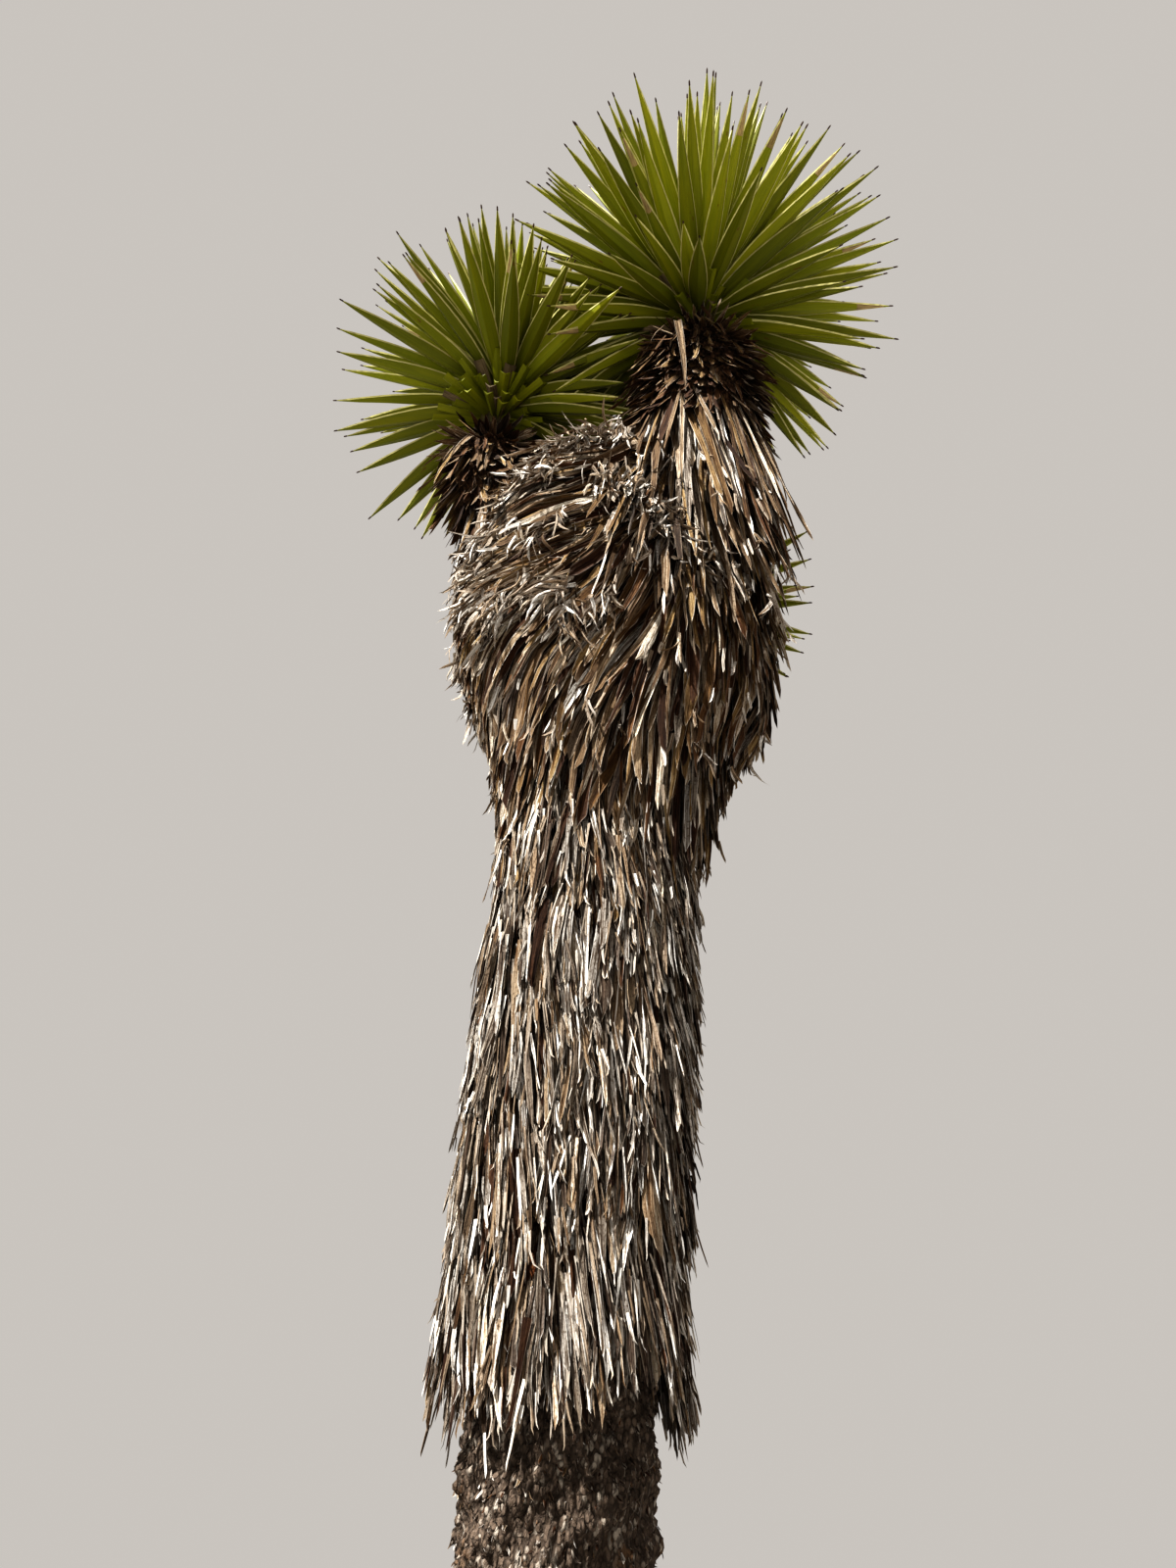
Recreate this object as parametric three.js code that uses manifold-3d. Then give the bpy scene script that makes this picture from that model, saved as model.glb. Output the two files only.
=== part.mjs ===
// A faxon yucca: one leaning trunk that forks into three arms, each with a rosette of dagger leaves, and
// a skirt of dead leaves that hangs round the trunk and the arms. Millimetres, +Z up. The origin is the
// middle of the flat cut at ground level. -Y is the front, and +X is the side of the tallest arm.
import * as THREE from "three";
import { mergeVertices } from "three/addons/utils/BufferGeometryUtils.js";
import Module from "manifold-3d";

const wasm = await Module();
wasm.setup();

// The trunk
const forkHeight = 3900;
const leanAtFork = 218;
const leanPower = 1.35;
const trunkFootRadius = 219;
const trunkForkRadius = 160;
const rootFlare = 105;
const rootFlareHeight = 240;
const rootLobes = 5;
const rootLobeShare = 0.22;

// The bark's swellings and hollows, in staggered rows that fade out under the skirt
const swellHeight = 16;
const swellPitch = 244;
const swellsAround = 5;
const swellTop = 1880;
const swellFade = 260;
const swellRingShare = 5 / 6;

// The skirt of dead leaves round the trunk, in tiers that overhang each other
const tierCount = 5;
const tierPitch = 270;
const lowestTierFoot = 1850;
const skirtRadius = 297;
const lipRadius = 260;
const lipHeight = 45;
const tierTopWall = 26;
const tierColumns = 14;
const tierRows = [
  { rise: 30, length: 285 },
  { rise: 115, length: 330 },
];

// The room of a tier is closed from above by a steep cone, which the blades of the next tier hang outside
const coneTopRadius = 245;
const coneSlope = 0.15;

// The shaggy shoulders round the fork: wider than the skirt, and parted by upright planes
const shoulderFoot = 3205;
const shoulderBulge = 212;
const bulgeStart = 2960;
const bulgeEnd = 3800;
const bulgeShareFront = 0.42;
const bulgeShareBack = 0.62;
const bladeStandOff = 50;
const domePower = 2.6;
const shoulderRowPitch = 150;
const shoulderBladeSpacing = 115;

// Gaps between neighbours
const seatGap = 0.35;
const roomGap = 1;

const greenLeaf = { width: 62, thickness: 13, widestAt: 0.45 };
const deadLeaf = { width: 60, thickness: 12, widestAt: 0.5 };
const leafStub = { width: 58, thickness: 18, widestAt: 0.45 };

// Each arm: the line it follows, its radii, and the dead and green leaves that it carries
const arms = [
  {
    name: "right",
    line: [[262, -12, 3912], [420, -48, 4290], [503, -60, 4700], [525, -60, 5000]],
    footRadius: 118,
    tipRadius: 90,
    sector: [-80, 48],
    shoulderTop: 4330,
    domeHeight: 330,
    cuff: { from: 0.3, to: 0.67, radius: 212, rows: 3, columns: 11, length: 420 },
    neck: { from: 0.68, to: 0.985, footRadius: 180, topRadius: 118, rows: 4, columns: 11, length: 115 },
    crown: { leaves: 100, length: 708, tilt: 8, tiltTowards: 20, widest: 124, height: 300, radius: 92 },
  },
  {
    name: "left",
    line: [[150, 18, 3912], [-70, 92, 4170], [-188, 116, 4460], [-222, 120, 4710]],
    footRadius: 105,
    tipRadius: 84,
    sector: [135, 280],
    shoulderTop: 4480,
    domeHeight: 430,
    cuff: { from: 0.42, to: 0.64, radius: 150, rows: 1, columns: 9, length: 260 },
    neck: { from: 0.64, to: 0.98, footRadius: 130, topRadius: 112, rows: 4, columns: 9, length: 105 },
    crown: { leaves: 84, length: 620, tilt: 7, tiltTowards: 290, widest: 124, height: 330, radius: 84 },
  },
  {
    name: "rear",
    line: [[262, 182, 3560], [330, 330, 3790], [382, 432, 4020], [390, 450, 4130]],
    footRadius: 92,
    tipRadius: 74,
    sector: [48, 135],
    shoulderTop: 3960,
    domeHeight: 260,
    cuff: { from: 0.45, to: 0.62, radius: 122, rows: 1, columns: 8, length: 220 },
    neck: { from: 0.62, to: 0.98, footRadius: 112, topRadius: 98, rows: 3, columns: 8, length: 92 },
    crown: { leaves: 56, length: 535, tilt: 26, tiltTowards: 70, widest: 118, height: 200, radius: 74 },
  },
];

// The tilted planes between neighbouring rosettes: the first named lies on the side the normal points to
const divides = [
  { over: "right", under: "left", point: [150, 30, 5040], normal: [0.62, -0.55, 0.55] },
  { over: "right", under: "rear", point: [470, 250, 4700], normal: [0.05, -0.45, 0.9] },
];

const barkColour = 0x3b2f27;
const deadColour = 0xa8926f;
const stubColour = 0x6b4a30;
const greenColour = 0x7f8c3a;

const up = new THREE.Vector3(0, 0, 1);
const gravity = new THREE.Vector3(0, 0, -1);
const goldenAngle = Math.PI * (3 - Math.sqrt(5));

const radians = (degrees) => THREE.MathUtils.degToRad(degrees);
const mix = (from, to, share) => THREE.MathUtils.lerp(from, to, share);
const smoothStep = (from, to, value) => THREE.MathUtils.smoothstep(value, from, to);

// Numbers from 0 to 1 that come out the same each time
function seededRandom(seed) {
  let state = seed;
  return () => {
    state = (state + 0x6d2b79f5) | 0;
    let mixed = Math.imul(state ^ (state >>> 15), 1 | state);
    mixed = (mixed + Math.imul(mixed ^ (mixed >>> 7), 61 | mixed)) ^ mixed;
    return ((mixed ^ (mixed >>> 14)) >>> 0) / 4294967296;
  };
}

function solidOf(geometry) {
  const bare = geometry.index ? geometry.toNonIndexed() : geometry.clone();
  bare.deleteAttribute("normal");
  bare.deleteAttribute("uv");
  const merged = mergeVertices(bare, 1e-3);
  return new wasm.Manifold(
    new wasm.Mesh({
      numProp: 3,
      vertProperties: merged.attributes.position.array,
      triVerts: new Uint32Array(merged.index.array),
    }),
  );
}

// The largest body of a solid: loose scraps go, and hollows that fusing sealed in it are filled
function mainBody(solid) {
  return solid.decompose().reduce((best, body) => (body.volume() > best.volume() ? body : best));
}

function meshOf(name, solid, colour) {
  const made = mainBody(solid).getMesh();
  const geometry = new THREE.BufferGeometry();
  geometry.setAttribute("position", new THREE.BufferAttribute(made.vertProperties, 3));
  geometry.setIndex(new THREE.BufferAttribute(made.triVerts, 1));
  geometry.computeVertexNormals();
  const material = new THREE.MeshStandardMaterial({ color: colour, roughness: 0.85, metalness: 0 });
  const mesh = new THREE.Mesh(geometry, material);
  mesh.name = name;
  return mesh;
}

// Moves each corner of a geometry to where place(corner) says
function reshape(geometry, place) {
  const positions = geometry.attributes.position;
  const corner = new THREE.Vector3();
  for (let i = 0; i < positions.count; i++) {
    corner.fromBufferAttribute(positions, i);
    corner.copy(place(corner));
    positions.setXYZ(i, corner.x, corner.y, corner.z);
  }
  return geometry;
}

// The trunk's own shape: its axis leans to +X, its bark swells and sinks, and it widens into lobes at the
// root flare
const trunkAxis = (z) => new THREE.Vector3(leanAtFork * (Math.max(z, 0) / forkHeight) ** leanPower, 0, z);

function barkSwell(z, angle) {
  const around = Math.cos(swellsAround * angle + 1.8 * Math.sin((2 * Math.PI * z) / 900));
  const along = Math.cos((2 * Math.PI * z) / swellPitch + 1.2 * Math.sin(2 * angle + 0.8));
  return swellHeight * around * along * (1 - smoothStep(swellTop - swellFade, swellTop, z));
}

function trunkRadius(z, angle = 0) {
  const taper = mix(trunkFootRadius, trunkForkRadius, z / forkHeight);
  const lobes = 1 + rootLobeShare * Math.cos(rootLobes * angle);
  const flare = rootFlare * Math.exp(-Math.max(z, 0) / rootFlareHeight) * lobes;
  return taper + flare + barkSwell(z, angle);
}

// A closed body round the trunk's axis, of radius radiusAt(z, angle), with its rings at the shares of its
// height that ringAt gives
function bodyRoundTrunk(fromZ, toZ, sides, steps, radiusAt, ringAt = (share) => share) {
  const cylinder = new THREE.CylinderGeometry(1, 1, 1, sides, steps);
  return solidOf(
    reshape(cylinder, (corner) => {
      const z = mix(fromZ, toZ, ringAt(corner.y + 0.5));
      const angle = Math.atan2(-corner.z, corner.x);
      const reach = Math.hypot(corner.x, corner.z) * radiusAt(z, angle);
      const axis = trunkAxis(z);
      return new THREE.Vector3(axis.x + reach * Math.cos(angle), reach * Math.sin(angle), z);
    }),
  );
}

// Most of the trunk's rings lie where its bark swells
function trunkRing(share) {
  const swollen = swellTop / forkHeight;
  if (share < swellRingShare) return (share / swellRingShare) * swollen;
  return mix(swollen, 1, (share - swellRingShare) / (1 - swellRingShare));
}

function trunkSolid(grow) {
  const radiusAt = (z, angle) => trunkRadius(z, angle) + grow;
  return bodyRoundTrunk(-grow, forkHeight + grow, 20, 24, radiusAt, trunkRing);
}

const curveOf = (arm) => new THREE.CatmullRomCurve3(arm.line.map((point) => new THREE.Vector3(...point)));

// Where a curve is at a share of its length, which way it runs, and two directions across it
function frameAt(curve, share) {
  const place = curve.getPointAt(share);
  const along = curve.getTangentAt(share);
  const across = new THREE.Vector3(0, 1, 0).cross(along).normalize();
  const other = along.clone().cross(across);
  return { place, along, across, other };
}

// A closed body round a curve, between two shares of its length, its ends moved out by extra
function bodyRoundCurve(curve, from, to, sides, steps, radiusAt, extra = 0) {
  const cylinder = new THREE.CylinderGeometry(1, 1, 1, sides, steps);
  return solidOf(
    reshape(cylinder, (corner) => {
      const share = mix(from, to, corner.y + 0.5);
      const { place, along, across, other } = frameAt(curve, share);
      const overrun = Math.abs(corner.y) > 0.499 ? Math.sign(corner.y) * extra : 0;
      return place
        .addScaledVector(along, overrun)
        .addScaledVector(across, corner.x * radiusAt(share))
        .addScaledVector(other, -corner.z * radiusAt(share));
    }),
  );
}

function armSolid(arm, grow) {
  const radiusAt = (share) => mix(arm.footRadius, arm.tipRadius, share) + grow;
  return bodyRoundCurve(curveOf(arm), 0, 1, 12, 6, radiusAt, grow);
}

// One blade: a long three-sided spindle with a flat upper face and a keel below. It starts from a point at
// root, is widest part of the way along, and its tip hangs lower by droop millimetres.
function bladeSolid(shape, { root, direction, faceUp, length, droop = 0 }) {
  const along = direction.clone().normalize();
  const side = faceUp.clone().cross(along).normalize();
  const keel = side.clone().cross(along);
  const halfSpan = Math.sin(radians(60));
  return solidOf(
    reshape(new THREE.SphereGeometry(1, 3, 2), (corner) => {
      const share = [0, shape.widestAt, 1][Math.round(corner.y) + 1];
      return root
        .clone()
        .addScaledVector(along, share * length)
        .addScaledVector(side, (corner.z / halfSpan) * (shape.width / 2))
        .addScaledVector(keel, -corner.x * (shape.thickness / 1.5))
        .addScaledVector(gravity, droop * share * share);
    }),
  );
}

// A dead leaf that leaves a surface at a shallow angle, its root sunk in
function hangingBlade(shape, surface, heading, random, { length, lift, sink }) {
  const tilt = radians(lift);
  const direction = heading.clone().multiplyScalar(Math.cos(tilt)).addScaledVector(surface.out, Math.sin(tilt));
  const root = surface.point.clone().addScaledVector(surface.out, -sink).addScaledVector(heading, -sink / tilt);
  const width = shape.width * (0.85 + 0.3 * random());
  const reach = length * (0.88 + 0.24 * random());
  return bladeSolid({ ...shape, width }, { root, direction, faceUp: surface.out, length: reach });
}

const overlaps = (one, other) => one.intersect(other).volume() > 0.001;
const staysIn = (blade, space) => blade.subtract(space).volume() < 0.001;

// Fuses a core with the blades that keep to the mass's own space and touch no limb, and skips the rest
function fuse(core, blades, space, limbs) {
  const kept = blades.filter((blade) => staysIn(blade, space) && !limbs.some((limb) => overlaps(blade, limb)));
  return wasm.Manifold.union([core, ...kept]);
}

// A point of a surface round the trunk, with the direction out of it and the one down along it
function surfaceRoundTrunk(radiusAt, z, angle) {
  const pointAt = (height, turn) => {
    const reach = radiusAt(height, turn);
    return trunkAxis(height).add(new THREE.Vector3(reach * Math.cos(turn), reach * Math.sin(turn), 0));
  };
  const down = pointAt(z - 5, angle).sub(pointAt(z + 5, angle)).normalize();
  const sideways = pointAt(z, angle + 0.02).sub(pointAt(z, angle - 0.02)).normalize();
  return { point: pointAt(z, angle), down, out: down.clone().cross(sideways).normalize() };
}

// A point of a collar round an arm, with the direction out of it and the one down along it
function surfaceRoundArm(curve, share, angle, radius) {
  const { place, along, across, other } = frameAt(curve, share);
  const out = across.clone().multiplyScalar(Math.cos(angle)).addScaledVector(other, Math.sin(angle));
  return { point: place.clone().addScaledVector(out, radius), down: along.clone().negate(), out };
}

const tierFoot = (tier) => lowestTierFoot + tier * tierPitch;

function tierRadius(tier) {
  const foot = tierFoot(tier);
  const topRadius = trunkRadius(foot + tierPitch) + tierTopWall;
  return (z) => {
    const share = THREE.MathUtils.clamp((z - foot - lipHeight) / (tierPitch - lipHeight), 0, 1);
    return mix(lipRadius, topRadius, share);
  };
}

// All that lies under the cone that closes a tier from above
function roomUnderCone(tier, grow) {
  const top = tierFoot(tier);
  const radiusAt = (z) => coneTopRadius + (top - z) * coneSlope + grow;
  return bodyRoundTrunk(top - 620, top + grow, 32, 2, radiusAt);
}

function tierMass(tier, trunkGrown) {
  const random = seededRandom(101 + tier);
  const foot = tierFoot(tier);
  const top = foot + tierPitch - 2 * roomGap;
  const core = bodyRoundTrunk(foot, top, 18, 3, tierRadius(tier), (share) => share ** 1.6);
  const blades = [];
  tierRows.forEach(({ rise, length }, row) => {
    for (let i = 0; i < tierColumns; i++) {
      const angle = ((i + 0.5 * row + 0.37 * tier + 0.2 * random()) / tierColumns) * 2 * Math.PI;
      const surface = surfaceRoundTrunk(tierRadius(tier), foot + rise, angle);
      const lift = 9 + 1.2 * (random() - 0.5);
      blades.push(hangingBlade(deadLeaf, surface, gravity, random, { length, lift, sink: 9 }));
    }
  });
  const outer = bodyRoundTrunk(foot - 420, top, 32, 2, () => skirtRadius * 1.2);
  const capped = outer.intersect(roomUnderCone(tier + 1, -roomGap));
  const space = tier === 0 ? capped : capped.subtract(roomUnderCone(tier, roomGap));
  return fuse(core.subtract(trunkGrown), blades, space, [trunkGrown]);
}

// The reach of the shoulders' blades, at any height and angle round the trunk
function shoulderReach(z, angle) {
  const bulge = shoulderBulge * smoothStep(bulgeStart, bulgeEnd, z);
  const sideways = skirtRadius + bulge;
  const depth = skirtRadius + bulge * (Math.sin(angle) < 0 ? bulgeShareFront : bulgeShareBack);
  return 1 / Math.hypot(Math.cos(angle) / sideways, Math.sin(angle) / depth);
}

// The radius of a shoulder's core, which blades stand out of: a lip at its foot and a dome at its top
function shoulderRadius(arm) {
  return (z, angle) => {
    const domeShare = Math.max(0, z - arm.shoulderTop + arm.domeHeight) / arm.domeHeight;
    const dome = Math.max(0.01, 1 - domeShare ** domePower) ** (1 / domePower);
    const core = Math.max(60, shoulderReach(z, angle) * dome - bladeStandOff);
    return mix(Math.min(lipRadius, core), core, smoothStep(shoulderFoot, shoulderFoot + 190, z));
  };
}

// The wedge of space of one shoulder, between two upright planes that meet on the trunk's axis
function sectorSpace(arm) {
  const [start, end] = arm.sector.map(radians);
  const middle = (start + end) / 2;
  const inset = roomGap / Math.sin((end - start) / 2);
  const reach = 2600;
  const corner = new THREE.Vector2(leanAtFork + inset * Math.cos(middle), inset * Math.sin(middle));
  const cornerAt = (angle, share) =>
    new THREE.Vector2(corner.x + reach * share * Math.cos(angle), corner.y + reach * share * Math.sin(angle));
  const outline = new THREE.Shape([corner, cornerAt(start, 1), cornerAt(middle, 1.6), cornerAt(end, 1)]);
  const prism = new THREE.ExtrudeGeometry(outline, { depth: 2600, bevelEnabled: false });
  return solidOf(prism.translate(0, 0, 2600));
}

// Which way a dead leaf lies on a shoulder: down, but on the left one's front combed over to the left
function combed(arm, surface, z) {
  const leftward = new THREE.Vector3(-1, 0, 0);
  leftward.addScaledVector(surface.out, -leftward.dot(surface.out));
  if (arm.name !== "left" || leftward.length() < 0.3) return surface.down;
  const overTop = 0.85 * smoothStep(3760, 4250, z) * (surface.out.y < 0.35 ? 1 : 0.25);
  return surface.down.clone().lerp(leftward.normalize(), overTop).normalize();
}

function shoulderBlades(arm, random) {
  const [start, end] = arm.sector.map(radians);
  const radiusAt = shoulderRadius(arm);
  const blades = [];
  for (let z = shoulderFoot + 42; z < arm.shoulderTop - 40; z += shoulderRowPitch) {
    const reach = radiusAt(z, (start + end) / 2);
    const inset = (deadLeaf.width * 0.6) / reach;
    const count = Math.max(3, Math.round(((end - start) * reach) / shoulderBladeSpacing));
    for (let i = 0; i < count; i++) {
      const share = (i + 0.6 * (random() - 0.5) * (i > 0 && i < count - 1 ? 1 : 0)) / (count - 1);
      const angle = mix(start + inset, end - inset, share);
      const height = z + (z > shoulderFoot + 100 ? 60 * (random() - 0.5) : 0);
      const surface = surfaceRoundTrunk(radiusAt, height, angle);
      const lift = z > shoulderFoot + 100 ? 11 : 8;
      const heading = z > shoulderFoot + 100 ? combed(arm, surface, z) : gravity;
      blades.push(hangingBlade(deadLeaf, surface, heading, random, { length: 330, lift, sink: 9 }));
    }
  }
  return blades;
}

// The dead leaves that hang from the collar round an arm
function cuffBlades(arm, random) {
  const { from, to, radius, rows, columns, length } = arm.cuff;
  const curve = curveOf(arm);
  const blades = [];
  for (let row = 0; row < rows; row++) {
    const share = mix(from, to, (row + 0.65) / rows);
    for (let i = 0; i < columns; i++) {
      const angle = ((i + 0.5 * (row % 2) + 0.5 * random()) / columns) * 2 * Math.PI;
      const surface = surfaceRoundArm(curve, share, angle, radius);
      const into = Math.min(0, gravity.dot(surface.out));
      const heading = gravity.clone().addScaledVector(surface.out, -into).normalize();
      blades.push(hangingBlade(deadLeaf, surface, heading, random, { length, lift: 11, sink: 10 }));
    }
  }
  return blades;
}

function shoulderMass(arm, space) {
  const random = seededRandom(arm.name.length * 77);
  const dome = bodyRoundTrunk(shoulderFoot, arm.shoulderTop, 20, 8, shoulderRadius(arm));
  const { from, to, radius } = arm.cuff;
  const cuff = bodyRoundCurve(curveOf(arm), from, to, 14, 3, () => radius);
  const core = mainBody(dome.add(cuff).intersect(space));
  return fuse(core, [...shoulderBlades(arm, random), ...cuffBlades(arm, random)], space, []);
}

// The neck: stubs of leaf bases that point down and out, close under the rosette
function neckRadius(arm, share) {
  const { from, to, footRadius, topRadius } = arm.neck;
  return mix(footRadius, topRadius, (share - from) / (to - from));
}

function neckSpace(arm, grow) {
  const { from, to, length } = arm.neck;
  const radiusAt = (share) => neckRadius(arm, share) + length * 0.6 + grow;
  return bodyRoundCurve(curveOf(arm), from - 0.02, to, 20, 3, radiusAt, grow);
}

function neckMass(arm) {
  const random = seededRandom(arm.name.length * 31);
  const { from, to, rows, columns, length } = arm.neck;
  const curve = curveOf(arm);
  const core = bodyRoundCurve(curve, from, to, 14, 2, (share) => neckRadius(arm, share));
  const blades = [];
  for (let row = 0; row < rows; row++) {
    const share = mix(from, to, (row + 1.4) / (rows + 0.6));
    for (let i = 0; i < columns; i++) {
      const angle = ((i + 0.5 * (row % 2)) / columns) * 2 * Math.PI;
      const surface = surfaceRoundArm(curve, share, angle, neckRadius(arm, share));
      blades.push(hangingBlade(leafStub, surface, surface.down, random, { length: length + 30, lift: 27, sink: 14 }));
    }
  }
  return fuse(core.subtract(armSolid(arm, seatGap)), blades, neckSpace(arm, 0), [armSolid(arm, seatGap)]);
}

// The tilted axis of a rosette, from the tip of its arm
function crownFrame(arm) {
  const { tilt, tiltTowards } = arm.crown;
  const { place, along } = frameAt(curveOf(arm), 1);
  const lean = new THREE.Vector3(Math.cos(radians(tiltTowards)), Math.sin(radians(tiltTowards)), 0);
  const turn = new THREE.Quaternion().setFromAxisAngle(up.clone().cross(lean).normalize(), radians(tilt));
  return { place, along, turn, axis: up.clone().applyQuaternion(turn) };
}

// Dagger leaves round a bud, each turned on by the golden angle: the youngest upright at the top, and the
// oldest lowest, shortest and pointing down
function crownLeaves(arm) {
  const random = seededRandom(arm.name.length * 13 + 5);
  const { leaves, length, widest, height, radius } = arm.crown;
  const { place, turn, axis } = crownFrame(arm);
  const topCosine = Math.cos(radians(7));
  const footCosine = Math.cos(radians(widest));
  const made = [];
  for (let i = 0; i < leaves; i++) {
    const age = (i + 0.5) / leaves;
    const polar = Math.acos(mix(topCosine, footCosine, age)) + radians(5) * (random() - 0.5);
    const angle = i * goldenAngle;
    const out = new THREE.Vector3(Math.cos(angle), Math.sin(angle), 0).applyQuaternion(turn);
    const direction = axis.clone().multiplyScalar(Math.cos(polar)).addScaledVector(out, Math.sin(polar));
    const faceUp = axis.clone().multiplyScalar(Math.sin(polar)).addScaledVector(out, -Math.cos(polar));
    const rise = height * mix(0.94, 0.36, age);
    const root = place.clone().addScaledVector(axis, rise).addScaledVector(out, radius * 0.2);
    const byAge = mix(0.84, 1, smoothStep(0, 0.2, age)) * mix(1, 0.88, smoothStep(0.6, 1, age));
    made.push({ root, direction, faceUp, length: length * byAge * (0.94 + 0.12 * random()), droop: 14 });
  }
  return made;
}

// The bud that the leaves stand out of, cut flat just above the arm's tip
function budSolid(arm) {
  const { height, radius } = arm.crown;
  const { place, along, axis } = crownFrame(arm);
  const across = new THREE.Vector3(0, 1, 0).cross(axis).normalize();
  const other = axis.clone().cross(across);
  const whole = solidOf(
    reshape(new THREE.SphereGeometry(1, 12, 8), (corner) =>
      place
        .clone()
        .addScaledVector(axis, height * (0.42 + 0.62 * corner.y))
        .addScaledVector(across, corner.x * radius)
        .addScaledVector(other, -corner.z * radius),
    ),
  );
  return whole.trimByPlane([along.x, along.y, along.z], along.dot(place) + seatGap);
}

// The part of a solid on a rosette's own side of the planes that divide it from its neighbours
function ownSide(arm, solid) {
  return divides.reduce((kept, { over, under, point, normal }) => {
    if (arm.name !== over && arm.name !== under) return kept;
    const facing = new THREE.Vector3(...normal).normalize().multiplyScalar(arm.name === over ? 1 : -1);
    const offset = facing.dot(new THREE.Vector3(...point)) + roomGap;
    return kept.trimByPlane([facing.x, facing.y, facing.z], offset);
  }, solid);
}

// A leaf that would leave the rosette's side or touch a neighbour is made shorter, and skipped if it is
// still too long at half its length
function rosetteMass(arm, neighbours) {
  const kept = [];
  for (const leaf of crownLeaves(arm)) {
    for (const share of [1, 0.86, 0.74, 0.62, 0.52]) {
      const blade = bladeSolid(greenLeaf, { ...leaf, length: leaf.length * share });
      if (blade.volume() - ownSide(arm, blade).volume() > 0.001) continue;
      if (neighbours.some((neighbour) => overlaps(blade, neighbour))) continue;
      kept.push(blade);
      break;
    }
  }
  return wasm.Manifold.union([budSolid(arm), ...kept]);
}

const group = new THREE.Group();
const trunkGrown = trunkSolid(seatGap);
const armsGrown = arms.map((arm) => armSolid(arm, seatGap));
const limbsGrown = wasm.Manifold.union([trunkGrown, ...armsGrown]);
const neckRooms = arms.map((arm) => neckSpace(arm, roomGap));

group.add(meshOf("trunk", trunkSolid(0), barkColour));

// The arms are cut clear of the trunk, and of the arms before them
arms.forEach((arm, index) => {
  const earlier = wasm.Manifold.union([trunkGrown, ...armsGrown.slice(0, index)]);
  group.add(meshOf(`arm_${arm.name}`, armSolid(arm, 0).subtract(earlier), barkColour));
});

for (let tier = 0; tier < tierCount; tier++) {
  group.add(meshOf(`skirt_tier_${tier + 1}`, tierMass(tier, trunkGrown), deadColour));
}

const shoulders = arms.map((arm) => {
  const taken = wasm.Manifold.union([roomUnderCone(tierCount, roomGap), limbsGrown, ...neckRooms]);
  return shoulderMass(arm, sectorSpace(arm).subtract(taken));
});
arms.forEach((arm, index) => group.add(meshOf(`shoulder_${arm.name}`, shoulders[index], deadColour)));
arms.forEach((arm) => group.add(meshOf(`neck_${arm.name}`, neckMass(arm), stubColour)));

const placed = [limbsGrown, ...neckRooms, ...shoulders];
for (const arm of arms) {
  const rosette = rosetteMass(arm, placed);
  placed.push(rosette);
  group.add(meshOf(`rosette_${arm.name}`, rosette, greenColour));
}

export default group;
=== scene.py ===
import math

import bmesh
import bpy
import numpy as np
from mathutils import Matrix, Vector, noise


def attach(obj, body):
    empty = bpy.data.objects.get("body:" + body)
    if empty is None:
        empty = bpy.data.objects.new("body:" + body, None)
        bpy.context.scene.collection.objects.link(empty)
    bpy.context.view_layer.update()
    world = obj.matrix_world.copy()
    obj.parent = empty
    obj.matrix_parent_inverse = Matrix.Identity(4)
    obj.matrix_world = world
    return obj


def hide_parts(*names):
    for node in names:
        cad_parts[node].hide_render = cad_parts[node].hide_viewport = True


# A faxon yucca: bark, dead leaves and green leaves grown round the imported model. Metres, +Z up, front -Y.
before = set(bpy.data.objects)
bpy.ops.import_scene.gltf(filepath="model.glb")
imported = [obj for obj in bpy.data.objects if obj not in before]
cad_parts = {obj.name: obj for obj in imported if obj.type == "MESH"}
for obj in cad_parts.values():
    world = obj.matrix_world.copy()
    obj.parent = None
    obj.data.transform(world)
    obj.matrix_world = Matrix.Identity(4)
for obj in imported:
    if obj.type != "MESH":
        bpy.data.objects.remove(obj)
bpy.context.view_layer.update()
print("frame loaded:", len(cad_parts), "nodes")

# The limbs and the room that the leaves fill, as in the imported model
trunk = {
    "forkHeight": 3.9, "lean": 0.218, "leanPower": 1.35, "footRadius": 0.219, "forkRadius": 0.16,
    "flare": 0.105, "flareHeight": 0.24, "lobes": 5, "lobeShare": 0.22,
    "swellHeight": 0.016, "swellPitch": 0.244, "swellsAround": 5, "swellTop": 1.88, "swellFade": 0.26,
    "swellTwist": 1.8, "twistPitch": 0.9, "swellSlant": 1.2,
}
skirtRoom = {
    "tiers": 5, "pitch": 0.27, "lowestFoot": 1.85, "reach": 0.297, "lip": 0.256, "innerWall": 0.228,
    "lowerOut": 0.03, "outFades": (2.75, 3.35), "rightIn": 0.024, "lowestTip": 1.6,
}
shoulderRoom = {
    "foot": 3.205, "bulge": 0.212, "bulgeStart": 3.0, "bulgeEnd": 3.84, "rightEarlier": 0.17,
    "frontShare": 0.42, "backShare": 0.62, "standOff": 0.078, "domePower": 2.6, "footFade": 0.19,
    "sunkFrom": 3.86, "sunkLeft": 0.6, "sunkMiddle": 0.1, "highest": 4.47,
}
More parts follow.
